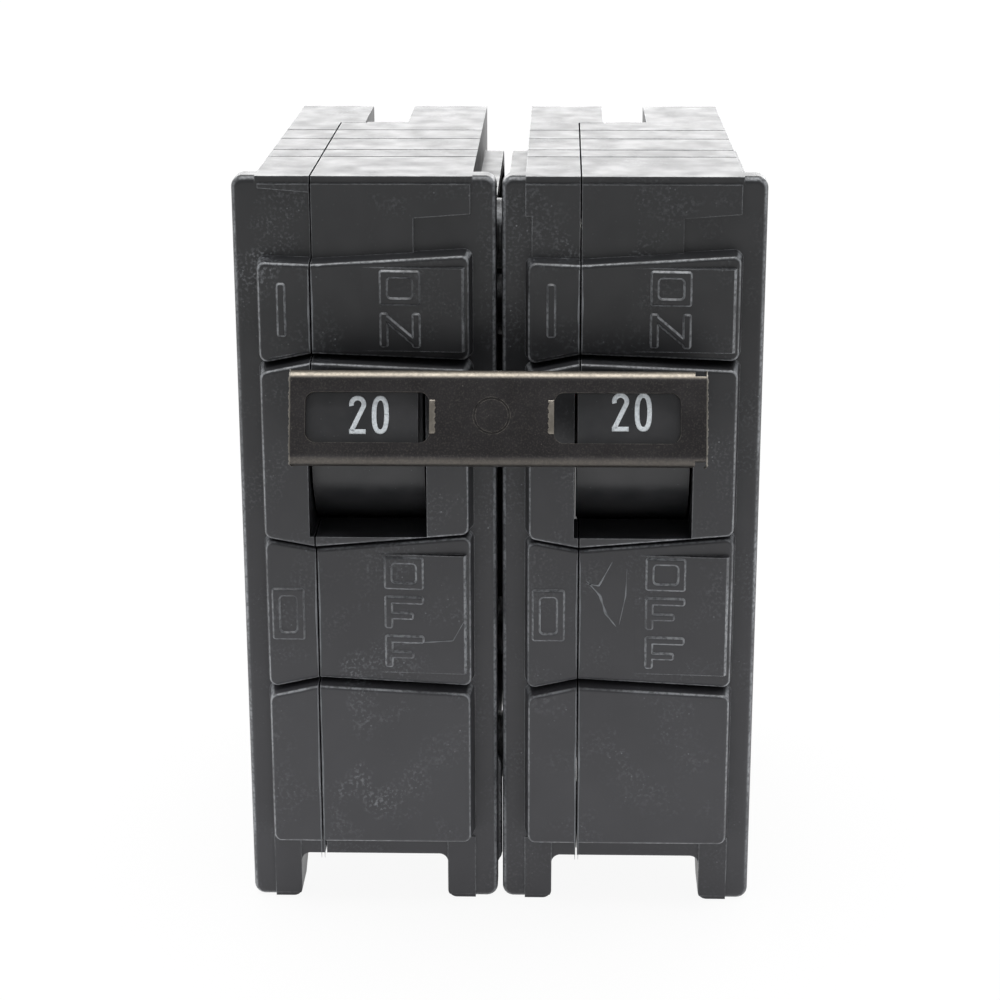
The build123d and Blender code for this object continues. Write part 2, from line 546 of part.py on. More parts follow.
def contact_disc(over):
    """Silver contact, its upper face this far over the arm's centre line."""
    with BuildPart() as disc:
        plane = Plane(origin=(0, FLANGE_Y + ARM_PIVOT[0] + CONTACT_REACH * cos(ARM_ANGLE)
                              - over * sin(ARM_ANGLE),
                              ARM_PIVOT[1] + CONTACT_REACH * sin(ARM_ANGLE) + over * cos(ARM_ANGLE)),
                      x_dir=(1, 0, 0), z_dir=(0, sin(ARM_ANGLE), -cos(ARM_ANGLE)))
        with BuildSketch(plane):
            Circle(CONTACT_RADIUS)
        extrude(amount=CONTACT_THICK)
    return disc


def line_terminal():
    """Copper strap under the fixed contact, straight on to the jaw's foot and up behind the jaw."""
    under = -ARM_WIDTH / 2 - 2 * CONTACT_THICK
    centre = under - STRAP / 2
    c, s = cos(ARM_ANGLE), sin(ARM_ANGLE)

    def on_arm(along):
        return (ARM_PIVOT[0] + along * c - centre * s, ARM_PIVOT[1] + along * s + centre * c)

    start = on_arm(CONTACT_REACH - 2.8)
    upright = BODY_DEPTH - STAB_SLOT_DEPTH - STRAP / 2 + 0.1
    corner = (upright, start[1] + (upright - start[0]) * s / c)
    with BuildPart() as strap:
        with BuildSketch(side_plane(-3.0)):
            with BuildLine():
                FilletPolyline(start, corner, (upright, JAW_TOP), radius=0.9)
            trace(line_width=STRAP)
        extrude(amount=6.0)
    return strap


def line_jaw():
    """Plated copper jaw for the bus stab: a U seen from above, its leaves closing to the mouth."""
    base = BODY_DEPTH - STAB_SLOT_DEPTH + 0.1 + JAW_SHEET / 2
    x, spread, grip, lead = STAB_SLOT_X, JAW_SPREAD, 1.0, 1.9
    with BuildPart() as jaw:
        with BuildSketch(top_plane(STAB_SLOT_FOOT + 0.6)):
            with BuildLine():
                FilletPolyline((x - lead, base + 10.4), (x - grip, base + 8.2),
                               (x - spread, base + 2.6), (x - spread, base), (x + spread, base),
                               (x + spread, base + 2.6), (x + grip, base + 8.2),
                               (x + lead, base + 10.4), radius=0.8)
            trace(line_width=JAW_SHEET)
        extrude(amount=JAW_TOP - STAB_SLOT_FOOT - 0.6)
    return jaw


def jaw_spring():
    """Steel spring clip that presses the jaw's leaves together from outside."""
    base = BODY_DEPTH - STAB_SLOT_DEPTH + 0.1 + JAW_SHEET
    outside = JAW_SPREAD + JAW_SHEET / 2
    thick = 0.6
    x = STAB_SLOT_X
    with BuildPart() as clip:
        for side in (-1, 1):
            with BuildSketch(top_plane(STAB_SLOT_FOOT + 2.6)):
                with BuildLine():
                    Polyline((x + side * outside, base - 0.4), (x + side * (outside + thick), base - 0.4),
                             (x + side * (outside + thick), base + 1.8),
                             (x + side * outside, base + 1.8), close=True)
                make_face()
            extrude(amount=4.6)
        block((x - outside - thick, x + outside + thick), (base + 0.2, base + 0.2 + thick),
              (STAB_SLOT_FOOT + 0.0, STAB_SLOT_FOOT + 0.6))
        for side in (-1, 1):
            ends = sorted((x + side * outside, x + side * (outside + thick)))
            block(ends, (base + 0.2, base + 0.2 + thick), (STAB_SLOT_FOOT, STAB_SLOT_FOOT + 2.6))
    return clip


def arc_point(reach, angle):
    """Place at this reach and angle from the middle of the arm pivot's travel."""
    return (ARM_PIVOT[0] + reach * cos(angle), PIVOT_Z + reach * sin(angle))


def arc_plates():
    """Slotted steel plates fanned along the moving contact's path, a group of solids."""
    with BuildPart() as plates:
        for angle in ARC_ANGLES:
            along, up = cos(angle), sin(angle)
            middle = arc_point((ARC_INNER + ARC_OUTER) / 2, angle)
            plane = Plane(origin=(0, FLANGE_Y + middle[0], middle[1]), x_dir=(1, 0, 0),
                          z_dir=(0, -up, along))
            with BuildSketch(plane.offset(-ARC_SHEET / 2)):
                Rectangle(2 * ARC_HALF, ARC_OUTER - ARC_INNER)
                with Locations((0, (ARC_SLOT - ARC_OUTER) / 2 - 0.2)):
                    Rectangle(2 * (ARM_THICK / 2 + 1.1), ARC_SLOT - ARC_INNER + 0.4,
                              mode=Mode.SUBTRACT)
            extrude(amount=ARC_SHEET)
    return plates


def arc_frame():
    """Two fibre cheeks that hold the arc plates, a pair of solids."""
    first, last = ARC_ANGLES[0] - 0.05, ARC_ANGLES[-1] + 0.04
    with BuildPart() as cheeks:
        for low in (-ARC_HALF - ARC_CHEEK, ARC_HALF):
            slab([arc_point(ARC_INNER, first), arc_point(ARC_OUTER, first),
                  arc_point(ARC_OUTER, last), arc_point(ARC_INNER, last)], low, low + ARC_CHEEK)
    return cheeks


# ---- trip unit ----------------------------------------------------------------------------------
def cradle():
    """Trip lever: turns on its pin, held by the armature's latch edge at its far end."""
    tip = ARMATURE_DEPTH - EASE
    with BuildPart() as lever:
        slab([(CRADLE_DEPTH, CRADLE_Z - 2.2), (CRADLE_DEPTH + 6, CRADLE_Z - 1.4),
              (tip, LATCH_Z - 1.4), (tip, LATCH_Z), (tip - 3, LATCH_Z + 0.4),
              (SPRING_DEPTH + 2.2, LATCH_Z - 0.2), (SPRING_DEPTH + 1.6, LATCH_Z + 1.0),
              (SPRING_DEPTH - 1.6, LATCH_Z + 1.0), (SPRING_DEPTH - 2.6, CRADLE_Z + 3.0),
              (CRADLE_DEPTH, CRADLE_Z + 2.2)], -CRADLE_THICK / 2, CRADLE_THICK / 2)
        pin(CRADLE_DEPTH, CRADLE_Z, 2.2, -3.0, 3.0)
        pin(26.0, LATCH_Z - 1.2, 0.9, 0, 4.2)
        pin(CRADLE_DEPTH, CRADLE_Z, CRADLE_PIN_RADIUS + RUNNING, -3.0, 3.0, Mode.SUBTRACT)
    return lever


def cross_pin(depth, z, radius):
    """Plain steel pin held in both side walls."""
    with BuildPart() as shaft:
        pin(depth, z, radius, -INSIDE, INSIDE)
    return shaft


def coil(depth, foot, top, radius, wire, turns):
    """Upright coil spring between two heights."""
    with BuildPart() as spring:
        with BuildLine() as path:
            Helix(pitch=(top - foot - wire) / turns, height=top - foot - wire, radius=radius,
                  center=(0, FLANGE_Y + depth, foot + wire / 2))
        with BuildSketch(Plane(origin=path.line @ 0, z_dir=path.line % 0)):
            Circle(wire / 2)
        sweep(is_frenet=True)
    return spring


def torsion_coil(depth, z, start, length, radius, wire, turns):
    """Small coil round a cross pin."""
    with BuildPart() as spring:
        with BuildLine() as path:
            Helix(pitch=length / turns, height=length, radius=radius,
                  center=(start, FLANGE_Y + depth, z), direction=(1, 0, 0))
        with BuildSketch(Plane(origin=path.line @ 0, z_dir=path.line % 0)):
            Circle(wire / 2)
        sweep(is_frenet=True)
    return spring


def bimetal():
    """Bimetal strip, welded to the load strap at its foot, that pushes the armature when hot."""
    back = BIMETAL_DEPTH + BIMETAL_THICK
    with BuildPart() as strip:
        block((-BIMETAL_WIDTH / 2, BIMETAL_WIDTH / 2), (BIMETAL_DEPTH, back),
              (BIMETAL_FOOT, BIMETAL_TOP))
        chamfer(strip.edges().filter_by(Axis.Y).group_by(Axis.Z)[-1], length=1.0)
    return strip


def magnet_yoke():
    """U of steel round the bimetal, whose legs pull the armature on a short circuit."""
    half = ARMATURE_WIDTH / 2 + 0.5
    front = ARMATURE_DEPTH + ARMATURE_THICK + 1.0
    back = BIMETAL_DEPTH + 3.4
    with BuildPart() as yoke:
        block((-half, half), (front, back), (YOKE_FOOT, YOKE_TOP))
        block((-half + YOKE_SHEET, half - YOKE_SHEET), (front, back - YOKE_SHEET),
              (YOKE_FOOT, YOKE_TOP), Mode.SUBTRACT)
    return yoke


def armature():
    """Latch plate hung from its pin in front of the yoke."""
    back = ARMATURE_DEPTH + ARMATURE_THICK
    middle = ARMATURE_DEPTH + ARMATURE_THICK / 2
    half = ARMATURE_WIDTH / 2
    with BuildPart() as plate:
        block((-half, half), (ARMATURE_DEPTH, back), (ARMATURE_FOOT, ARMATURE_PIVOT_Z))
        pin(middle, ARMATURE_PIVOT_Z, ARMATURE_PIN_RADIUS + 0.7, -half, half)
        block((-1.7, 1.7), (ARMATURE_DEPTH, back), (LATCH_Z - 3.2, LATCH_Z - 2.0), Mode.SUBTRACT)
        pin(middle, ARMATURE_PIVOT_Z, ARMATURE_PIN_RADIUS + RUNNING, -half, half, Mode.SUBTRACT)
    return plate


def flex_braid():
    """Copper braid from the side of the contact arm round the armature to the bimetal's top."""
    y = FLANGE_Y
    beside = -ARMATURE_WIDTH / 2 - 1.9
    end = -BIMETAL_WIDTH / 2
    with BuildPart() as braid:
        with BuildLine() as path:
            FilletPolyline((-ARM_THICK / 2, y + 21.0, 54.6), (-4.2, y + 21.0, 54.6),
                           (beside, y + 24.5, 52.4), (beside, y + 33.0, 51.6),
                           (beside + 0.6, y + 36.5, 50.6), (end, y + 36.5, 50.6), radius=0.9)
        with BuildSketch(Plane(origin=path.line @ 0, z_dir=path.line % 0)):
            Circle(0.7)
        sweep()
    return braid


def trip_bar():
    """Moulded bar through both poles, with a finger to each armature and a kick lug opposite it."""
    end = HALF_PITCH + 5.6
    with BuildPart() as bar:
        pin(TRIP_BAR_DEPTH, TRIP_BAR_Z, TRIP_BAR_RADIUS, -end, end)
        for centre in POLES.values():
            slab([(TRIP_BAR_DEPTH - 1.2, TRIP_BAR_Z), (TRIP_BAR_DEPTH + 1.2, TRIP_BAR_Z + 1.1),
                  (ARMATURE_DEPTH - 0.5, TRIP_BAR_Z - 3.6), (ARMATURE_DEPTH - 0.9, TRIP_BAR_Z - 5.0),
                  (TRIP_BAR_DEPTH + 1.0, TRIP_BAR_Z - 3.2)], centre + 2.6, centre + 4.4)
            slab([(TRIP_BAR_DEPTH, TRIP_BAR_Z - 1.6), (TRIP_BAR_DEPTH, TRIP_BAR_Z + 1.6),
                  (TRIP_BAR_DEPTH - 3.6, TRIP_BAR_Z + 2.4), (TRIP_BAR_DEPTH - 5.2, TRIP_BAR_Z + 1.4),
                  (TRIP_BAR_DEPTH - 4.6, TRIP_BAR_Z - 1.0)], centre + 2.4, centre + 4.6)
    return bar


def calibration_screw():
    """Grub screw in the back wall that sets the strap and with it the bimetal."""
    start = BIMETAL_DEPTH + BIMETAL_THICK + STRAP
    with BuildPart() as screw:
        with BuildSketch(front_plane(BODY_DEPTH - 0.4)):
            with Locations((0, 31.5)):
                Circle(1.45)
        extrude(amount=BODY_DEPTH - 0.4 - start)
        block((-1.5, 1.5), (BODY_DEPTH - 1.2, BODY_DEPTH), (31.25, 31.75), Mode.SUBTRACT)
    return screw


# ---- load terminal ------------------------------------------------------------------------------
def load_strap():
    """Copper strap from the bimetal's foot down behind the lug."""
    with BuildPart() as strap:
        block((-3.5, 3.5), (LUG_BACK, LUG_BACK + STRAP), (FLOOR_Z + 1.2, 33.5))
    return strap


def screw_side(reach, over):
    """(depth, height) of a point this far along the screw's axis and this far above-front of it."""
    return (SCREW_DEPTH + reach * SCREW_AXIS[0] - over * SCREW_AXIS[1],
            SCREW_Z + reach * SCREW_AXIS[1] + over * SCREW_AXIS[0])


CLAMP_FACE = WIRE_DEPTH - WIRE_RADIUS - 0.15
CLAMP_HALF = 2.4


def lug_body():
    """Lug with an upright wire bore, an inclined threaded hole and a pocket for the clamp."""
    low_front, high_front = screw_side(3.2, -5.0), screw_side(3.2, 4.5)
    with BuildPart() as lug:
        slab([(low_front[0], FLOOR_Z), (LUG_BACK, FLOOR_Z), (LUG_BACK, LUG_TOP), (24.5, LUG_TOP),
              high_front, low_front], -LUG_WIDTH / 2, LUG_WIDTH / 2)
        with BuildSketch(top_plane(FLOOR_Z)):
            with Locations((0, WIRE_DEPTH)):
                Circle(WIRE_RADIUS)
        extrude(amount=LUG_TOP - FLOOR_Z, mode=Mode.SUBTRACT)
        with BuildSketch(screw_plane(0)):
            Circle(SCREW_RADIUS + RUNNING)
        extrude(amount=SCREW_LENGTH + 2, mode=Mode.SUBTRACT)
        slab([(CLAMP_FACE - 0.7, 15.2), (CLAMP_FACE - 3.1, 17.3), (CLAMP_FACE + 0.8, LUG_TOP),
              (WIRE_DEPTH, LUG_TOP), (WIRE_DEPTH, 15.2)], -CLAMP_HALF - 0.2, CLAMP_HALF + 0.2,
             Mode.SUBTRACT)
    return lug


def clamp_plate():
    """Wedge that the screw drives on to the wire: upright face to the wire, square back to it."""
    lower, upper = screw_side(SCREW_LENGTH, -1.0), screw_side(SCREW_LENGTH, 1.9)
    with BuildPart() as wedge:
        slab([lower, (CLAMP_FACE, lower[1] + 0.6), (CLAMP_FACE, 20.2), (29.0, 19.4), upper],
             -CLAMP_HALF, CLAMP_HALF)
    return wedge


def terminal_screw():
    """Terminal screw with a slotted cheese head."""
    with BuildPart() as screw:
        with BuildSketch(screw_plane(-HEAD_HEIGHT)):
            Circle(HEAD_RADIUS)
        extrude(amount=HEAD_HEIGHT)
        with BuildSketch(screw_plane(0)):
            Circle(SCREW_RADIUS)
        extrude(amount=SCREW_LENGTH)
        with BuildSketch(screw_plane(-HEAD_HEIGHT)):
            Rectangle(2 * HEAD_RADIUS + 1, 1.1)
        extrude(amount=1.4, mode=Mode.SUBTRACT)
        chamfer(screw.edges().filter_by(GeomType.CIRCLE).sort_by(Axis.Z)[:1], length=0.3)
    return screw


# ---- the whole breaker --------------------------------------------------------------------------
for side, centre in POLES.items():
    cover, base = case_halves(cover_pad=side == "right", inner=1 if side == "left" else -1)
    keep(cover, f"case_cover_{side}", (centre, 0, 0))
    keep(base, f"case_base_{side}", (centre, 0, 0))

keep(case_rivets(), "case_rivets")
keep(handle_tie(), "handle_tie")
keep(trip_bar(), "common_trip_bar")

keep_in_poles(toggle(), "toggle")
keep_in_poles(arm_pin(), "arm_pin")
keep_in_poles(contact_arm(), "contact_arm")
keep_in_poles(contact_disc(-ARM_WIDTH / 2), "moving_contact")
keep_in_poles(contact_disc(-ARM_WIDTH / 2 - CONTACT_THICK), "fixed_contact")
keep_in_poles(line_terminal(), "line_terminal")
keep_in_poles(line_jaw(), "line_jaw")
keep_in_poles(jaw_spring(), "jaw_spring")
keep_in_poles(arc_plates(), "arc_plates")
keep_in_poles(arc_frame(), "arc_frame")
keep_in_poles(cradle(), "cradle")
keep_in_poles(cross_pin(CRADLE_DEPTH, CRADLE_Z, CRADLE_PIN_RADIUS), "cradle_pin")
keep_in_poles(coil(SPRING_DEPTH, LATCH_Z + 1.1, 46.5, SPRING_RADIUS, SPRING_WIRE, 8), "main_spring")
keep_in_poles(bimetal(), "bimetal")
keep_in_poles(magnet_yoke(), "magnet_yoke")
keep_in_poles(armature(), "armature")
keep_in_poles(cross_pin(ARMATURE_DEPTH + ARMATURE_THICK / 2, ARMATURE_PIVOT_Z,
                        ARMATURE_PIN_RADIUS), "armature_pin")
keep_in_poles(torsion_coil(ARMATURE_DEPTH + ARMATURE_THICK / 2, ARMATURE_PIVOT_Z,
                           ARMATURE_WIDTH / 2 + 0.4, 1.2, 1.15, 0.35, 3), "armature_spring")
keep_in_poles(flex_braid(), "flex_braid")
keep_in_poles(calibration_screw(), "calibration_screw")
keep_in_poles(load_strap(), "load_strap")
keep_in_poles(lug_body(), "lug_body")
keep_in_poles(clamp_plate(), "clamp_plate")
keep_in_poles(terminal_screw(), "terminal_screw")
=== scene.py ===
"""Looks of a two-pole plug-on circuit breaker: a finish for every CAD part, moulded letters, printed
ratings, sheared ends and bends painted pale as highlights on the handle tie, sealing compound, scuffs and
dust on the case, strips that keep light out of its gaps, and a plain white studio.

Metres, in the CAD frame: +Z up along the breaker, the handle side faces -Y, +X to the right.
"""
import json
import math

import bpy
import numpy as np
from mathutils import Matrix, Vector


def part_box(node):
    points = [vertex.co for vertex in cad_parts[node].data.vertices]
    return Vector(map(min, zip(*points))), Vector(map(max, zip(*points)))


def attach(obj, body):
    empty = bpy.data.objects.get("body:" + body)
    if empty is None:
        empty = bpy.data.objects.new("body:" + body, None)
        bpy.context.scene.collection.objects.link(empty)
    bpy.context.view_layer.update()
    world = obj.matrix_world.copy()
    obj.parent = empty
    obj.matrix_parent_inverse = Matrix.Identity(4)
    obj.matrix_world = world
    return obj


MM = 0.001
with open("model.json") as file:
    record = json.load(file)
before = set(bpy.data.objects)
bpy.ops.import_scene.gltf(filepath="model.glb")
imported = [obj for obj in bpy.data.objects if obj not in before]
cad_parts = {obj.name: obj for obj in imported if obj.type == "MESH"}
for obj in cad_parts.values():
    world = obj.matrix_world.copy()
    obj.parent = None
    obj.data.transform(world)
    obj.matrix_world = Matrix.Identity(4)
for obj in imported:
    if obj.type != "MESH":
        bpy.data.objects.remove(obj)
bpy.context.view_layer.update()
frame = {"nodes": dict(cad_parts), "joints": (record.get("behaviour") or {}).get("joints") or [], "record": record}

# ---- places taken from the frame ------------------------------------------------------------------
MIDDLE_RELIEF = 3.2 * MM           # the handle's own step of the nose is the foremost of the four
ON_RELIEF, OFF_RELIEF = 2.2 * MM, 2.0 * MM
PANEL_LIFT, PANEL_END = 0.6 * MM, 9.2 * MM
ON_PANEL_X, OFF_PANEL_X = -0.2 * MM, 0.5 * MM
HANDLE_TILT = math.radians(18.0)
PARTING_X = -5.0 * MM              # parting between cover and base, from the pole's centre
LOW_RELIEF = 2.8 * MM
# steps of the nose that the parting crosses: lower and upper end in millimetres, and relief
SEAM_STEPS = {"low": (5.6, 24.2, LOW_RELIEF), "off": (25.6, 37.0, OFF_RELIEF),
              "on": (57.6, 65.6, ON_RELIEF)}
SEAM_DUST_OFFSET, SEAM_DUST_WIDTH = 0.16, 0.13     # millimetres, to each side of the parting
# where dust has settled most thickly: beside the upper steps and on the lower ones
DUSTY_SPOTS = (((-22.0 * MM, -17.2 * MM, 66.5 * MM), 4.0), ((-13.0 * MM, -19.1 * MM, 24.0 * MM), 5.0),
               ((9.5 * MM, -17.2 * MM, 67.0 * MM), 4.5), ((-12.0 * MM, -19.1 * MM, 12.0 * MM), 6.0))
# moulded marks, in millimetres from a pole's centre line and from the feet
WORD_X, ON_TOP, OFF_TOP = 3.45, 63.9, 35.65        # column of the words, and their first letters
ON_BAR_AT, OFF_RING_AT = (-7.75, 61.7), (-7.9, 31.3)
# scuffs on the OFF panels: pole, corners from its centre line and from the feet, and full width
SCUFFS = [("left", [(3.2, 28.3), (6.0, 28.6), (8.2, 28.8), (9.6, 31.4)], 0.1),
          ("right", [(-4.3, 34.6), (-3.0, 34.4), (-1.7, 36.9)], 0.14),
          ("right", [(-4.2, 34.9), (-2.9, 33.4), (-2.3, 31.5), (-1.3, 30.2)], 0.2),
          ("right", [(-1.0, 30.4), (-0.4, 33.4), (-0.3, 36.2)], 0.1)]
# edge of each tie window with a turned-in bend, painted pale as a highlight: from its pole's centre line, and the
# way it faces
BENT_WINDOW_EDGES = {"left": (6.6, 1), "right": (-7.4, -1)}
# where each printed 20 sits on its handle's end face: across and up, in millimetres
RATING_OFFSETS = {"left": (1.07, 0.25), "right": (-0.33, 0.6)}


def middle(node):
    """Centre of a CAD node's box."""
    low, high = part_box(node)
    return (low + high) / 2


def reach_of(node, origin, direction):
    """Farthest that a CAD node's mesh goes from a point, measured along a direction."""
    mesh = frame["nodes"][node].data
    corners = np.empty(len(mesh.vertices) * 3)
    mesh.vertices.foreach_get("co", corners)
    return float(((corners.reshape(-1, 3) - np.array(origin)) @ np.array(direction)).max())


POLES = {side: middle(f"terminal_screw_{side}").x for side in ("left", "right")}
FLANGE_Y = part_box("case_base_left")[0].y + MIDDLE_RELIEF
HANDLE_PIVOT = Vector(next(j["pos_m"] for j in frame["joints"] if j["name"] == "handle_swing"))
HANDLE_OUT = Vector((0, -math.cos(HANDLE_TILT), math.sin(HANDLE_TILT)))
HANDLE_UP = Vector((0, math.sin(HANDLE_TILT), math.cos(HANDLE_TILT)))
ACROSS = np.array([1.0, 0, 0])


# ---- nodes ----------------------------------------------------------------------------------------
def linear(code, alpha=1.0):
    """Linear colour of an sRGB hex code."""
    channels = [int(code[i:i + 2], 16) / 255 for i in (1, 3, 5)]
    return [c / 12.92 if c <= 0.04045 else ((c + 0.055) / 1.055) ** 2.4 for c in channels] + [alpha]


def node(tree, kind, inputs=None, **settings):
    """Adds a shader node; each input gets a value, or the socket that feeds it."""
    made = tree.nodes.new("ShaderNode" + kind)
    for name, value in settings.items():
        setattr(made, name, value)
    for name, value in (inputs or {}).items():
        if isinstance(value, bpy.types.NodeSocket):
            tree.links.new(value, made.inputs[name])
        else:
            made.inputs[name].default_value = value
    return made


def cells_across(size_mm):
    """Texture scale whose features are this many millimetres across."""
    return 1 / (size_mm * MM)


def new_finish(name):
    """Material with its tree, its Principled shader and the Object coordinates."""
    material = bpy.data.materials.new(name)
    material.use_nodes = True
    tree = material.node_tree
    place = node(tree, "TexCoord").outputs["Object"]
    return material, tree, tree.nodes["Principled BSDF"], place


def spread(tree, value, low, high, to_low=0.0, to_high=1.0):
    """Value stretched from low..high on to another range, clamped at both ends."""
    ranges = {"Value": value, "From Min": low, "From Max": high, "To Min": to_low, "To Max": to_high}
    return node(tree, "MapRange", ranges).outputs["Result"]


def times(tree, first, second):
    """Product of two values."""
    return node(tree, "Math", {0: first, 1: second}, operation="MULTIPLY").outputs[0]


def blend(tree, amount, under, over):
    """Colour under another one that covers it by the amount; the mixer's sockets 6 and 7 are colours."""
    inputs = {0: amount, 6: under, 7: over}
    return node(tree, "Mix", inputs, data_type="RGBA").outputs[2]


def clouds(tree, place, size_mm, detail=3.0):
    """Soft noise with features of this size."""
    inputs = {"Vector": place, "Scale": cells_across(size_mm), "Detail": detail}
    return node(tree, "TexNoise", inputs).outputs[0]


def worn_edges(tree, radius_mm, start=0.03, full=0.2):
    """1 along creases and arrises narrower than the radius, 0 on open faces."""
    rounded = node(tree, "Bevel", {"Radius": radius_mm * MM}, samples=6).outputs[0]
    flat = node(tree, "NewGeometry").outputs["Normal"]
    facing = node(tree, "VectorMath", {0: rounded, 1: flat}, operation="DOT_PRODUCT").outputs["Value"]
    return spread(tree, facing, 1 - start, 1 - full)


def specks(tree, place, spacing_mm, radius_mm, share):
    """Round specks in this share of the cells of a Voronoi pattern."""
    cells = node(tree, "TexVoronoi", {"Vector": place, "Scale": cells_across(spacing_mm)})
    inside = spread(tree, cells.outputs["Distance"], radius_mm / spacing_mm, 0.4 * radius_mm / spacing_mm)
    chance = node(tree, "SeparateColor", {0: cells.outputs["Color"]}).outputs[0]
    chosen = spread(tree, chance, 1 - share, 1.0)
    return times(tree, inside, chosen)


def turned_edges(tree):
    """1 on rounded arrises, where the surface faces neither straight ahead, sideways nor up."""
    facing = node(tree, "NewGeometry").outputs["Normal"]
    sizes = node(tree, "VectorMath", {0: facing}, operation="ABSOLUTE").outputs[0]
    parts = node(tree, "SeparateXYZ", {0: sizes}).outputs
    first = node(tree, "Math", {0: parts[0], 1: parts[1]}, operation="MAXIMUM").outputs[0]
    largest = node(tree, "Math", {0: first, 1: parts[2]}, operation="MAXIMUM").outputs[0]
    return spread(tree, largest, 0.93, 0.8)


def near(tree, place, point, radius_mm):
    """1 at a point, falling to 0 at the radius."""
    gap = node(tree, "VectorMath", {0: place, 1: point}, operation="DISTANCE").outputs["Value"]
    return spread(tree, gap, radius_mm * MM, 0.2 * radius_mm * MM)


def uneven_gloss(tree, shader, pattern, low, high):
    """Roughness that wanders between two values with a pattern."""
    tree.links.new(spread(tree, pattern, 0.3, 0.7, low, high), shader.inputs["Roughness"])


def grainy(tree, shader, pattern, depth_mm, strength):
    """Fine relief, this many millimetres deep, that a pattern gives the whole surface."""
    bump = node(tree, "Bump", {"Height": pattern, "Distance": depth_mm * MM, "Strength": strength})
    tree.links.new(bump.outputs[0], shader.inputs["Normal"])


# ---- finishes -------------------------------------------------------------------------------------
def moulded_case():
    """Glass-filled phenolic, compression moulded: near black towards the line end and greyer lower down, a
    painted glow of the white floor. Pale dust sits in every crease and on every arris, paler lower down."""
    material, tree, shader, place = new_finish("case_phenolic")
    height = node(tree, "SeparateXYZ", {0: place}).outputs[2]
    # painted light: the grey lower down stands in for light thrown up from the white floor
    painted_floor_glow = spread(tree, height, 62 * MM, 15 * MM)
    body = blend(tree, painted_floor_glow, linear("#222325"), linear("#454549"))
    body = blend(tree, spread(tree, clouds(tree, place, 9.0), 0.35, 0.65, 0.0, 0.25), body,
                 linear("#303033"))

    patches = spread(tree, clouds(tree, place, 5.0, 2.0), 0.48, 0.66)
    dust = times(tree, specks(tree, place, 0.55, 0.1, 0.35), spread(tree, patches, 0, 1, 0.12, 1.0))
    body = blend(tree, times(tree, dust, 0.5), body, linear("#a3a7ac"))
    haze = times(tree, spread(tree, clouds(tree, place, 0.3, 4.0), 0.5, 0.75), patches)
    body = blend(tree, times(tree, haze, 0.25), body, linear("#85888d"))

    for spot, radius in DUSTY_SPOTS:
        body = blend(tree, times(tree, near(tree, place, spot, radius), times(tree, haze, 0.8)), body,
                     linear("#9a9da2"))

    broken = spread(tree, clouds(tree, place, 0.35, 4.0), 0.36, 0.58, 0.3, 1.0)
    faded = spread(tree, clouds(tree, place, 6.0, 1.0), 0.36, 0.56, 0.35, 1.0)
    creases = node(tree, "Math", {0: worn_edges(tree, 0.18), 1: turned_edges(tree)},
                   operation="MAXIMUM").outputs[0]
    edge = times(tree, times(tree, creases, broken), faded)
    body = blend(tree, times(tree, edge, spread(tree, height, 62 * MM, 20 * MM, 0.65, 0.95)), body,
                 linear("#a1a4a8"))
    tree.links.new(body, shader.inputs["Base Color"])

    uneven_gloss(tree, shader, clouds(tree, place, 2.5), 0.36, 0.46)
    shader.inputs["IOR"].default_value = 1.5
    grainy(tree, shader, clouds(tree, place, 0.14, 2.0), 0.005, 0.6)
    return material


def handle_moulding():
    """Injection-moulded black thermoplastic, finer and glossier than the case, with rubbed corners."""
    material, tree, shader, place = new_finish("handle_plastic")
    body = blend(tree, spread(tree, clouds(tree, place, 3.0), 0.35, 0.65), linear("#2b2c2e"),
                 linear("#363638"))
    body = blend(tree, times(tree, specks(tree, place, 0.4, 0.06, 0.25), 0.35), body, linear("#8b8d90"))
    edge = times(tree, worn_edges(tree, 0.15), spread(tree, clouds(tree, place, 0.4), 0.4, 0.65))
    body = blend(tree, times(tree, edge, 0.35), body, linear("#85878a"))
    tree.links.new(body, shader.inputs["Base Color"])
    uneven_gloss(tree, shader, clouds(tree, place, 1.5), 0.3, 0.4)
    grainy(tree, shader, clouds(tree, place, 0.12, 2.0), 0.004, 0.5)
    return material


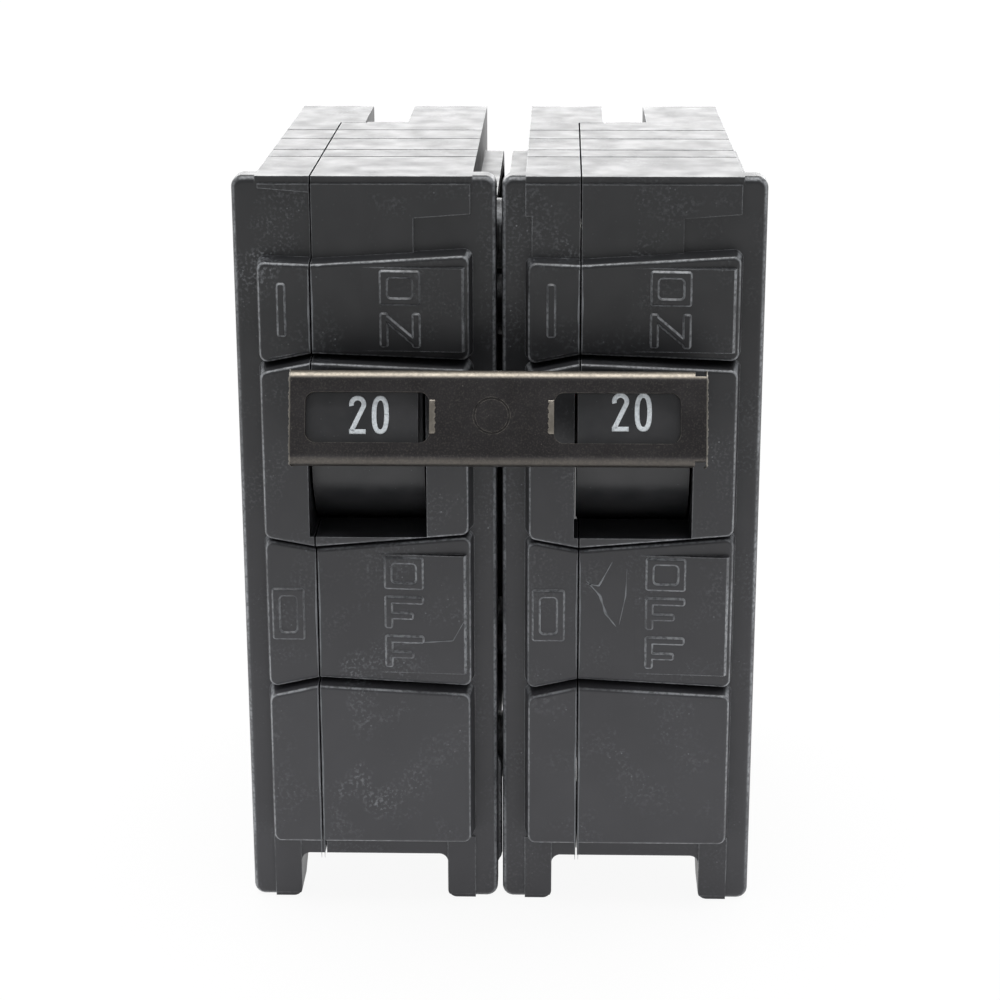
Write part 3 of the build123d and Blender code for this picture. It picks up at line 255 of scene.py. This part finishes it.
def oxide_steel():
    """Cold-rolled sheet with a black oxide finish: warm brown-black, a fine bright speckle where the
    oxide is thin, and bare along the sheared arrises. The bends are paler: a painted highlight on the
    upper one, and a weaker painted reflection of the floor on the lower one."""
    material, tree, shader, place = new_finish("tie_steel")
    body = blend(tree, spread(tree, clouds(tree, place, 4.0), 0.35, 0.65), linear("#3f3d3e"),
                 linear("#474546"))
    thin = spread(tree, clouds(tree, place, 0.16, 3.0), 0.5, 0.78)
    body = blend(tree, times(tree, thin, 0.4), body, linear("#77736d"))
    body = blend(tree, times(tree, specks(tree, place, 0.6, 0.07, 0.2), 0.5), body, linear("#b9b4ac"))
    edge = times(tree, worn_edges(tree, 0.14), spread(tree, clouds(tree, place, 0.5), 0.35, 0.6))
    body = blend(tree, times(tree, edge, 0.5), body, linear("#aaa59c"))
    # painted light: the bend facing up is painted pale as the overhead lamp's highlight, the bend facing down more
    # weakly as the floor's reflection
    facing = node(tree, "TexCoord").outputs["Normal"]
    upward = node(tree, "VectorMath", {0: facing, 1: HANDLE_UP},
                  operation="DOT_PRODUCT").outputs["Value"]
    upper = times(tree, spread(tree, upward, 0.2, 0.5), spread(tree, upward, 0.99, 0.93))
    painted_floor_reflection = spread(tree, upward, -0.2, -0.6, 0.0, 0.3)
    ink_wear_and_bend_highlight = node(tree, "Math", {0: upper, 1: painted_floor_reflection}, operation="MAXIMUM").outputs[0]
    grained = spread(tree, clouds(tree, place, 0.3, 4.0), 0.25, 0.6, 0.55, 1.0)
    body = blend(tree, times(tree, ink_wear_and_bend_highlight, grained), body, linear("#8f887d"))
    tree.links.new(body, shader.inputs["Base Color"])
    shader.inputs["Metallic"].default_value = 0.9
    uneven_gloss(tree, shader, clouds(tree, place, 0.8), 0.36, 0.46)
    grainy(tree, shader, clouds(tree, place, 0.16, 3.0), 0.006, 0.6)
    return material


def worked_metal(name, clean, dull, roughness, grain_mm):
    """Bare or plated metal: a dull tarnish in clouds over the clean colour, worn bright at the arrises,
    and a fine grain drawn out the way it was rolled, drawn or turned (sizes along X, Y and Z)."""
    material, tree, shader, place = new_finish(name)
    tarnish = spread(tree, clouds(tree, place, 2.2, 4.0), 0.42, 0.66)
    body = blend(tree, times(tree, tarnish, 0.6), linear(clean), linear(dull))
    edge = times(tree, worn_edges(tree, 0.12), 0.5)
    body = blend(tree, edge, body, linear(clean))
    tree.links.new(body, shader.inputs["Base Color"])
    shader.inputs["Metallic"].default_value = 1.0
    stretched = node(tree, "Mapping", {"Vector": place,
                                       "Scale": tuple(cells_across(size) for size in grain_mm)})
    grain = node(tree, "TexNoise", {"Vector": stretched.outputs[0], "Scale": 1.0, "Detail": 3.0})
    uneven_gloss(tree, shader, grain.outputs[0], roughness - 0.06, roughness + 0.08)
    grainy(tree, shader, grain.outputs[0], 0.006, 0.5)
    return material


def plain_polymer(name, clean, dusty, roughness, fibre_mm):
    """Dull moulded or pressed sheet: one colour, a paler dust in clouds and a fine fibre or grain."""
    material, tree, shader, place = new_finish(name)
    body = blend(tree, spread(tree, clouds(tree, place, 1.8, 4.0), 0.4, 0.7, 0.0, 0.7), linear(clean),
                 linear(dusty))
    tree.links.new(body, shader.inputs["Base Color"])
    uneven_gloss(tree, shader, clouds(tree, place, 1.0), roughness - 0.05, roughness + 0.05)
    grainy(tree, shader, clouds(tree, place, fibre_mm, 3.0), 0.01, 0.5)
    return material


def printed_ink():
    """Pad-printed white epoxy ink, slightly blue, thinner in fine streaks where fingers have rubbed."""
    material, tree, shader, place = new_finish("printed_white")
    ink_wear_and_bend_highlight = spread(tree, clouds(tree, place, 0.25, 4.0), 0.42, 0.72, 0.0, 0.55)
    body = blend(tree, ink_wear_and_bend_highlight, linear("#dde3e7"), linear("#9aa3aa"))
    tree.links.new(body, shader.inputs["Base Color"])
    shader.inputs["Roughness"].default_value = 0.55
    return material


FINE, LONG = 0.08, 3.0             # millimetres across and along a grain
FINISHES = {
    "case_phenolic": moulded_case(),
    "handle_plastic": handle_moulding(),
    "tie_steel": oxide_steel(),
    # zinc plated, clear passivate: pale and slightly matt
    "rivet_steel": worked_metal("rivet_steel", "#b9b8b4", "#8d8b86", 0.36, (0.3, 0.3, 0.3)),
    # patented spring wire: bluish grey with drawing lines
    "spring_steel": worked_metal("spring_steel", "#8b8d92", "#64656a", 0.3, (FINE, FINE, LONG)),
    # plain cold-rolled stampings, lightly oiled
    "blade_steel": worked_metal("blade_steel", "#8e8e90", "#6a6866", 0.4, (FINE, FINE, LONG)),
    # bare electrolytic copper gone brown in patches
    "copper": worked_metal("copper", "#c4805c", "#7d4c37", 0.36, (FINE, FINE, LONG)),
    # dull electro-tin over copper
    "tinned_copper": worked_metal("tinned_copper", "#c8c5bd", "#95928a", 0.34, (0.3, 0.3, 0.3)),
    # silver cadmium button, coined flat
    "silver_contact": worked_metal("silver_contact", "#d9d6cf", "#a8a49b", 0.3, (0.2, 0.2, 0.2)),
    # rolled nickel-iron strip, faintly straw coloured
    "bimetal_strip": worked_metal("bimetal_strip", "#a49b8c", "#7a7266", 0.38, (FINE, FINE, LONG)),
    # vulcanised fibre, grey-brown and papery
    "chute_fibre": plain_polymer("chute_fibre", "#5c5148", "#7d7266", 0.7, 0.2),
    # red glass-filled nylon
    "trip_plastic": plain_polymer("trip_plastic", "#8f241b", "#a84a3e", 0.45, 0.12),
    # extruded aluminium, tin plated: soft white-grey with lines along the extrusion
    "lug_aluminium": worked_metal("lug_aluminium", "#b4b5b7", "#8e8f91", 0.38, (FINE, 0.2, LONG)),
    # zinc plated with a yellow passivate
    "screw_steel": worked_metal("screw_steel", "#a79d80", "#7b725b", 0.36, (0.2, 0.2, 0.2)),
}
for part in frame["record"]["subparts"]:
    for holder in frame["nodes"][part["node"]].material_slots:
        holder.material = FINISHES[part["material_slot"]]
PRINTED_INK = printed_ink()
# pale steel on the bend beside the tie's windows: a painted highlight
PAINTED_HIGHLIGHT_STEEL = worked_metal("painted_highlight_steel", "#a19b92", "#5a564f", 0.42, (0.15, 0.15, 0.15))
# resin crushed to a pale powder by a hard corner
SCUFFED = plain_polymer("scuffed_phenolic", "#85888c", "#55575a", 0.75, 0.1)
# bare steel torn bright by the shear
BARE_SHEAR = worked_metal("bare_shear", "#8f8b84", "#55514b", 0.42, (0.1, 0.1, 0.1))


# ---- pieces ---------------------------------------------------------------------------------------
def surface(name, points, finish, wrap=False):
    """Quads over a grid of points (rows, columns, 3). wrap joins the last column to the first, into a
    tube whose two ends stay open."""
    rows, columns = points.shape[:2]
    index = np.arange(rows * columns).reshape(rows, columns)
    if wrap:
        index = np.hstack([index, index[:, :1]])
    quads = np.stack([index[:-1, :-1], index[:-1, 1:], index[1:, 1:], index[1:, :-1]], axis=-1)
    mesh = bpy.data.meshes.new(name)
    mesh.from_pydata(points.reshape(-1, 3).tolist(), [], quads.reshape(-1, 4).tolist())
    mesh.polygons.foreach_set("use_smooth", [True] * len(mesh.polygons))
    mesh.materials.append(finish)
    piece = bpy.data.objects.new(name, mesh)
    bpy.context.collection.objects.link(piece)
    return piece


def join(name, pieces):
    """One object from several."""
    bpy.ops.object.select_all(action="DESELECT")
    for piece in pieces:
        piece.select_set(True)
    bpy.context.view_layer.objects.active = pieces[0]
    bpy.ops.object.join()
    pieces[0].name = name
    return pieces[0]


def thicken(piece, thickness_mm, offset=-1.0):
    """Gives a sheet a back, behind the side that faces out, or both ways where the offset is 0."""
    wall = piece.modifiers.new("wall", "SOLIDIFY")
    wall.thickness, wall.offset = thickness_mm * MM, offset


def normals_along(path):
    """Unit normals to the left of a path of points (across, up)."""
    direction = np.gradient(path, axis=0)
    turned = np.stack([-direction[:, 1], direction[:, 0]], -1)
    return turned / np.linalg.norm(direction, axis=1)[:, None]


# Moulded letters, as strokes in millimetres about the letter's own middle. A bar is its middle, half
# sizes and slant; a ring is the half sizes of its outer and inner outline. All corners are rounded.
STROKE, CORNER = 0.85, 0.3
LETTER_WIDTH, LETTER_HEIGHT, LETTER_PITCH = 3.9, 3.4, 4.05
HALF = STROKE / 2
WIDE, TALL = LETTER_WIDTH / 2, LETTER_HEIGHT / 2
LEFT_STEM = ("bar", (HALF - WIDE, 0), (HALF, TALL), 0)
LETTER_O = [("ring", (WIDE, TALL), (WIDE - STROKE, TALL - STROKE + 0.05))]
LETTER_N = [LEFT_STEM, ("bar", (WIDE - HALF, 0), (HALF, TALL), 0),
            ("bar", (0, 0), (math.hypot(WIDE, TALL) - HALF, 0.85 * HALF),
             math.atan2(HALF - TALL, WIDE - HALF))]
LETTER_F = [LEFT_STEM, ("bar", (0, TALL - HALF), (WIDE, HALF), 0),
            ("bar", (-0.5, -0.35), (WIDE - 0.5, HALF * 0.95), 0)]
MARK_ON = [("bar", (0, 0), (0.45, 2.6), 0)]
MARK_OFF = [("ring", (1.62, 2.68), (0.74, 1.8))]


def rounded_box(across, up, half, corner):
    """Signed distance to a box of these half sizes with rounded corners, negative inside."""
    past_x, past_z = np.abs(across) - half[0] + corner, np.abs(up) - half[1] + corner
    outside = np.hypot(np.maximum(past_x, 0), np.maximum(past_z, 0))
    return outside + np.minimum(np.maximum(past_x, past_z), 0) - corner


def stroke_distance(across, up, strokes):
    """Signed distance to a letter: the least of its bars', where a bar is a rounded box turned by its
    slant, and a ring is the outer box less the inner one."""
    nearest = np.full(across.shape, 1e9)
    for kind, *sizes in strokes:
        if kind == "bar":
            (x, z), half, slant = sizes
            along = (across - x) * math.cos(slant) + (up - z) * math.sin(slant)
            aside = (up - z) * math.cos(slant) - (across - x) * math.sin(slant)
            gap = rounded_box(along, aside, half, min(CORNER, half[0], half[1]))
        else:
            gap = np.maximum(rounded_box(across, up, sizes[0], CORNER),
                             -rounded_box(across, up, sizes[1], CORNER))
        nearest = np.minimum(nearest, gap)
    return nearest


def raised_mark(name, strokes, centre, half, face):
    """Moulded mark: a patch of the case face, a little under it, that rises smoothly over the strokes.
    At signed distance d it stands rise * s((soft / 2 - d) / (2 soft)), s the smooth step; face gives
    the case's y for each x. The patch is closed by a wall behind it."""
    rise, sunk, soft, step = 0.26, 0.04, 0.16, 0.055
    across, up = np.meshgrid(np.arange(-half[0], half[0] + step, step),
                             np.arange(-half[1], half[1] + step, step), indexing="ij")
    share = np.clip((soft / 2 - stroke_distance(across, up, strokes)) / (2 * soft), 0, 1)
    height = (rise * share * share * (3 - 2 * share) - sunk) * MM
    x = centre[0] + across * MM
    points = np.stack([x, face(x) - height, centre[1] + up * MM], axis=-1)
    piece = surface(name, points[:, ::-1], FINISHES["case_phenolic"])
    thicken(piece, 0.25)
    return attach(piece, "case")


def panel(pole, relief, start):
    """Depth of a lifted panel's face at each x."""
    rate = PANEL_LIFT / (PANEL_END - start)
    return lambda x: FLANGE_Y - relief - rate * np.maximum(x - pole - start, 0)


def cover(relief):
    """Depth of the cover's side of a step."""
    return lambda x: np.full_like(x, FLANGE_Y - relief)


def moulded_marks(side, pole):
    """ON and OFF on the lifted panels of the base, and their bar and ring on the cover."""
    on_face, off_face = panel(pole, ON_RELIEF, ON_PANEL_X), panel(pole, OFF_RELIEF, OFF_PANEL_X)
    half = (WIDE + 0.3, TALL + 0.16)
    words = {"on": ([LETTER_O, LETTER_N], ON_TOP, on_face),
             "off": ([LETTER_O, LETTER_F, LETTER_F], OFF_TOP, off_face)}
    for word, (letters, top, face) in words.items():
        for place, letter in enumerate(letters):
            centre = (pole + WORD_X * MM, (top - place * LETTER_PITCH) * MM)
            raised_mark(f"{word}_letter_{place + 1}_{side}", letter, centre, half, face)
    for name, strokes, (x, z), half, relief in (
            ("on_bar", MARK_ON, ON_BAR_AT, (0.8, 2.9), ON_RELIEF),
            ("off_ring", MARK_OFF, OFF_RING_AT, (1.9, 2.95), OFF_RELIEF)):
        raised_mark(f"{name}_{side}", strokes, (pole + x * MM, z * MM), half, cover(relief))


def ribbon(name, path, width, origin, finish):
    """Flat stroke of a printed figure: path points (across, up) in millimetres on the handle's face,
    widened to both sides along the path's normal, and laid on the face."""
    shares = np.linspace(-0.5, 0.5, 5)[None, :, None]
    flat = (path[:, None, :] + normals_along(path)[:, None, :] * width * shares) * MM
    points = np.array(origin) + flat[..., :1] * ACROSS + flat[..., 1:] * np.array(HANDLE_UP)
    return surface(name, points, finish)


def rating(side, offset_x, offset_up):
    """Printed 20 on a handle's end face: the 2 is an arc, a slanting run and a foot; the 0 is the curve
    (|x|/a)^n + (|z|/b)^n = 1, n the squareness."""
    # width of a stroke, half sizes of a figure and half the figures' pitch, in millimetres
    stroke, tall, wide, apart = 0.43, 1.54, 0.57, 1.04
    squareness, above_face = 2.5, 0.012
    end = reach_of(f"toggle_{side}", HANDLE_PIVOT, HANDLE_OUT)
    origin = HANDLE_PIVOT + HANDLE_OUT * (end + above_face * MM)
    origin.x = POLES[side] + offset_x * MM
    origin += HANDLE_UP * offset_up * MM

    turn = np.radians(np.linspace(196, -32, 40))
    bow = np.stack([wide * np.cos(turn), tall - wide + wide * np.sin(turn)], -1)
    slant = np.linspace(bow[-1], (-wide + 0.03, -tall + 0.1), 24)[1:]
    two = np.vstack([bow, slant]) - (apart, 0)
    foot = np.linspace((-apart - wide - 0.2, -tall), (-apart + wide + 0.18, -tall), 8)
    turn = np.linspace(0, 2 * np.pi, 73)
    power = 2 / squareness
    zero = np.stack([wide * np.sign(np.cos(turn)) * np.abs(np.cos(turn)) ** power,
                     tall * np.sign(np.sin(turn)) * np.abs(np.sin(turn)) ** power], -1) + (apart, 0)
    strokes = [ribbon(f"{name}_{side}", path, stroke, origin, PRINTED_INK)
               for name, path in (("two", two), ("foot", foot), ("zero", zero))]
    figures = join(f"rating_{side}", strokes)
    thicken(figures, 0.01)
    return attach(figures, "handle")


def sheared_end(side, x, outward):
    """Burr left on a cut end of the handle tie: a thin ragged roll round the outside of the channel's
    section. Its radius and its reach past the end wander with sums of sines along the path."""
    tie = "handle_tie"
    web = reach_of(tie, HANDLE_PIVOT, HANDLE_OUT) / MM
    top = reach_of(tie, HANDLE_PIVOT, HANDLE_UP) / MM
    bend, lip = 1.0, 3.8
    corner = np.radians(np.linspace(0, 90, 9))
    upper = np.stack([web - bend + bend * np.cos(corner), top - bend + bend * np.sin(corner)], -1)
    half = np.vstack([np.linspace((web, 0), (web, top - bend), 24)[:-1], upper,
                      np.linspace((web - bend, top), (web - lip, top), 18)[1:]])
    path = np.vstack([half[::-1] * (1, -1), half[1:]])
    run = np.arange(len(path))
    rag = (np.sin(run * 1.7) + np.sin(run * 2.9 + 1.3) + np.sin(run * 0.61 + 2.1)) / 3
    radius = 0.08 + 0.035 * rag
    turn = np.linspace(0, 2 * np.pi, 9)[:-1]
    middle_line = path - np.array([[0.05, 0.0]])
    sideways = (radius[:, None] * np.cos(turn))[..., None]
    section = middle_line[:, None, :] - normals_along(path)[:, None, :] * sideways
    across = x / MM + outward * (0.03 + 0.05 * rag[:, None] + radius[:, None] * np.sin(turn))
    points = (np.array(HANDLE_PIVOT) * (0, 1, 1) + across[..., None] * MM * ACROSS
              + section[..., :1] * MM * np.array(HANDLE_OUT)
              + section[..., 1:] * MM * np.array(HANDLE_UP))
    burr = surface(f"tie_burr_{side}", points if outward > 0 else points[:, ::-1],
                   BARE_SHEAR, wrap=True)
    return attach(burr, "handle")


def seal(side, pole):
    """Sealing compound over a calibration screw: a low dome, radius by angle and height by radius both
    wandering a little, whose rim lies in the hole."""
    centre = middle(f"calibration_screw_{side}")
    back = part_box(f"calibration_screw_{side}")[1].y
    rim, crown, sunk, phase = 1.36, 0.28, 0.12, pole * 900     # the phase tells the two seals apart
    share, turn = np.meshgrid(np.linspace(0.02, 1, 14), np.linspace(0, 2 * np.pi, 49)[:-1],
                              indexing="ij")
    radius = rim * share * (1 - 0.04 * share * np.sin(3 * turn + phase))
    height = crown * (1 - share ** 2.4) + 0.05 * np.sin(4 * turn) * share * (1 - share) - sunk
    points = np.stack([pole + radius * np.cos(turn) * MM, back + height * MM,
                       centre.z + radius * np.sin(turn) * MM], axis=-1)
    blob = surface(f"seal_{side}", points[:, ::-1], FINISHES["trip_plastic"], wrap=True)
    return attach(blob, "case")


def tie_point(x, up, out):
    """Point on the handle tie's web: x, height along the web and distance out of it, in millimetres."""
    web = reach_of("handle_tie", HANDLE_PIVOT, HANDLE_OUT)
    base = np.array(HANDLE_PIVOT) * (0, 1, 1) + np.array(HANDLE_OUT) * web
    return (base + x[..., None] * MM * ACROSS + up[..., None] * MM * np.array(HANDLE_UP)
            + out[..., None] * MM * np.array(HANDLE_OUT))


def window_bend(side, edge, outward):
    """Bend beside a window of the tie, where the cut tongue turned in, painted pale as a highlight: a low ridge
    that rises and falls as half a sine across, with ends that fade out."""
    share, up = np.meshgrid(np.linspace(0, 1, 13), np.linspace(-1.5, 1.55, 41), indexing="ij")
    ragged = 0.05 * np.sin(up * 9.0) + 0.03 * np.sin(up * 23.0 + 1.0)
    across = edge + outward * (0.03 + share * (0.5 + ragged))
    fade = np.clip((1.6 - np.abs(up)) / 0.4, 0, 1)
    out = 0.09 * np.sin(np.pi * share) * fade - 0.02
    points = tie_point(across, up + 0.05, out)
    ridge = surface(f"window_bend_{side}", points if outward > 0 else points[:, ::-1], PAINTED_HIGHLIGHT_STEEL)
    thicken(ridge, 0.05)
    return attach(ridge, "handle")


def parting_tongue(side, pole):
    """Thin tongue of the cover inside the back and floor walls, that keeps light out of the parting."""
    low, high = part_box(f"case_base_{side}")
    parting = pole + PARTING_X
    back, front, floor = high.y - 1.0 * MM, low.y + 4.6 * MM, 4.95 * MM
    outer = np.array([[back, high.z - 4 * MM], [back, floor], [front, floor], [front, 12 * MM]])
    inner = outer + np.array([[-0.8, 0.0], [-0.8, 0.8], [0.8, 0.8], [0.8, 0.0]]) * MM
    grid = np.stack([outer, inner], axis=1)
    points = np.concatenate([np.full(grid.shape[:2] + (1,), parting), grid], axis=-1)
    tongue = surface(f"parting_tongue_{side}", points, FINISHES["case_phenolic"])
    thicken(tongue, 0.1, offset=0.0)
    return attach(tongue, "case")


def flange_rib():
    """Low rib on the left pole's flange, that closes the gap to the other pole near the feet; its edge is
    rounded as a half circle, and its ends are drawn in by a quarter sine."""
    low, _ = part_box("case_base_left")
    front, foot, top = low.y + MIDDLE_RELIEF + 0.9 * MM, 3.6 * MM, 15.0 * MM
    along, turn = np.meshgrid(np.linspace(0, 1, 30), np.linspace(-90, 90, 9), indexing="ij")
    drawn_in = np.sin(np.clip(np.minimum(along, 1 - along) / 0.06, 0.02, 1) * np.pi / 2)
    x = -0.24 * MM + 0.44 * MM * drawn_in * np.cos(np.radians(turn))
    y = front + 0.7 * MM * (1 + np.sin(np.radians(turn)))
    points = np.stack([x, y, foot + along * (top - foot)], axis=-1)
    rib = surface("flange_rib", points, FINISHES["case_phenolic"], wrap=True)
    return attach(rib, "case")


def scratch(name, corners, width, face):
    """Pale scuff on the case: a ribbon along a smoothed line of (x, z) points in millimetres, whose half
    width is width * sin(pi t) ** 0.6 with a ripple, and which follows the face."""
    corners = np.array(corners, float)
    steps = np.linspace(0, len(corners) - 1, 16 * (len(corners) - 1) + 1)
    path = np.stack([np.interp(steps, np.arange(len(corners)), corners[:, axis]) for axis in (0, 1)], -1)
    path[1:-1] = (path[:-2] + path[1:-1] * 2 + path[2:]) / 4
    share = steps / steps[-1]
    half = width / 2 * np.sin(np.pi * (0.02 + 0.96 * share)) ** 0.6 * (1 + 0.35 * np.sin(steps * 7.3))
    shares = np.linspace(-1, 1, 3)[None, :, None]
    flat = path[:, None, :] + normals_along(path)[:, None, :] * half[:, None, None] * shares
    x, z = flat[..., 0] * MM, flat[..., 1] * MM
    points = np.stack([x, face(x) - 0.012 * MM, z], axis=-1)
    scuff = surface(name, points[:, ::-1], SCUFFED)
    thicken(scuff, 0.03)
    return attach(scuff, "case")


def seam_dust(side, pole):
    """Pale line of dust along each side of the parting, on every step that it crosses."""
    for step, (foot, top, relief) in SEAM_STEPS.items():
        for edge, aside in (("near", -SEAM_DUST_OFFSET), ("far", SEAM_DUST_OFFSET)):
            x = (pole + PARTING_X) / MM + aside
            bowed = (x + aside / 4, (foot + top) / 2 + 3 * aside)
            scratch(f"seam_dust_{step}_{edge}_{side}", [(x, foot), bowed, (x, top)], SEAM_DUST_WIDTH,
                    cover(relief))


for side, pole in POLES.items():
    moulded_marks(side, pole)
    seal(side, pole)
    parting_tongue(side, pole)
flange_rib()
for side, pole in POLES.items():
    seam_dust(side, pole)
for number, (side, corners, width) in enumerate(SCUFFS, 1):
    placed = [(POLES[side] / MM + x, z) for x, z in corners]
    scratch(f"scuff_{number}", placed, width, panel(POLES[side], OFF_RELIEF, OFF_PANEL_X))
for side, offsets in RATING_OFFSETS.items():
    rating(side, *offsets)
tie_low, tie_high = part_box("handle_tie")
sheared_end("left", tie_low.x, -1)
sheared_end("right", tie_high.x, 1)
for side, (edge, outward) in BENT_WINDOW_EDGES.items():
    window_bend(side, POLES[side] / MM + edge, outward)


# ---- studio ---------------------------------------------------------------------------------------
def seen_directly(tree):
    """1 for rays from the camera, from glossy surfaces and through glass, 0 for diffuse light."""
    path = node(tree, "LightPath").outputs
    shiny = node(tree, "Math", {0: path["Is Camera Ray"], 1: path["Is Glossy Ray"]},
                 operation="MAXIMUM").outputs[0]
    return node(tree, "Math", {0: shiny, 1: path["Is Transmission Ray"]},
                operation="MAXIMUM").outputs[0]


def white_floor():
    """Seamless white table, that keeps a faint shadow of the breaker."""
    reach, white_share, below_feet = 3.0, 0.93, 0.02
    corners = np.array([[[reach, -reach, 0], [reach, reach, 0]],
                        [[-reach, -reach, 0], [-reach, reach, 0]]])
    material = bpy.data.materials.new("white_table")
    material.use_nodes = True
    tree = material.node_tree
    shader = tree.nodes["Principled BSDF"]
    shader.inputs["Base Color"].default_value = linear("#f2f2f2")
    shader.inputs["Roughness"].default_value = 0.9
    white = node(tree, "Emission", {"Color": (1, 1, 1, 1), "Strength": 1.0}).outputs[0]
    share = times(tree, seen_directly(tree), white_share)
    mixed = node(tree, "MixShader", {0: share, 1: shader.outputs[0], 2: white})
    tree.links.new(mixed.outputs[0], tree.nodes["Material Output"].inputs["Surface"])
    floor = surface("table", corners, material)
    floor.location.z = -below_feet * MM


def softbox(name, place, aim, size, radiance):
    """Rectangular lamp of an even radiance, turned to face a point."""
    lamp = bpy.data.lights.new(name, "AREA")
    lamp.shape, (lamp.size, lamp.size_y) = "RECTANGLE", size
    lamp.energy = radiance * math.pi * size[0] * size[1]
    made = bpy.data.objects.new(name, lamp)
    made.location = place
    made.rotation_euler = (Vector(aim) - Vector(place)).to_track_quat("-Z", "Y").to_euler()
    made.visible_camera = False
    bpy.context.collection.objects.link(made)


def white_world():
    """White room; the camera's side of it is dimmer in what shiny surfaces reflect and for fill."""
    world = bpy.data.worlds.new("studio")
    bpy.context.scene.world = world
    world.use_nodes = True
    tree = world.node_tree
    direction = node(tree, "SeparateXYZ", {0: node(tree, "TexCoord").outputs["Generated"]}).outputs[1]
    room = spread(tree, direction, -0.6, 0.3, 0.35, 0.8)
    seen = node(tree, "LightPath").outputs["Is Camera Ray"]
    strength = node(tree, "Mix", {0: seen, 2: room, 3: 1.0}, data_type="FLOAT").outputs[0]
    tree.links.new(strength, tree.nodes["Background"].inputs["Strength"])
    tree.nodes["Background"].inputs["Color"].default_value = (1, 1, 1, 1)


def camera():
    """Camera a little to the right of the middle, looking down at the handle side."""
    place = (0.00579, -0.2422, 0.1120)
    # 17.17 degrees below level; the pan and the roll are in radians
    pan, tilt, roll = 0.0255, math.radians(90 - 17.17), -0.0019
    lens = bpy.data.cameras.new("camera")
    lens.lens, lens.sensor_width = 87.44, 36.0
    lens.clip_start, lens.clip_end = 0.01, 20.0
    made = bpy.data.objects.new("camera", lens)
    turn = (Matrix.Rotation(pan, 4, "Z") @ Matrix.Rotation(tilt, 4, "X")
            @ Matrix.Rotation(roll, 4, "Z"))
    made.matrix_world = Matrix.Translation(place) @ turn
    bpy.context.collection.objects.link(made)
    bpy.context.scene.camera = made


white_floor()
white_world()
softbox("overhead", (0.0, -0.05, 0.62), (0, 0, 0.04), (0.6, 0.35), 4.5)
softbox("back", (0.0, 0.95, 0.30), (0, 0, 0.06), (1.4, 0.5), 3.5)
camera()
bpy.context.scene.view_settings.view_transform = "Standard"
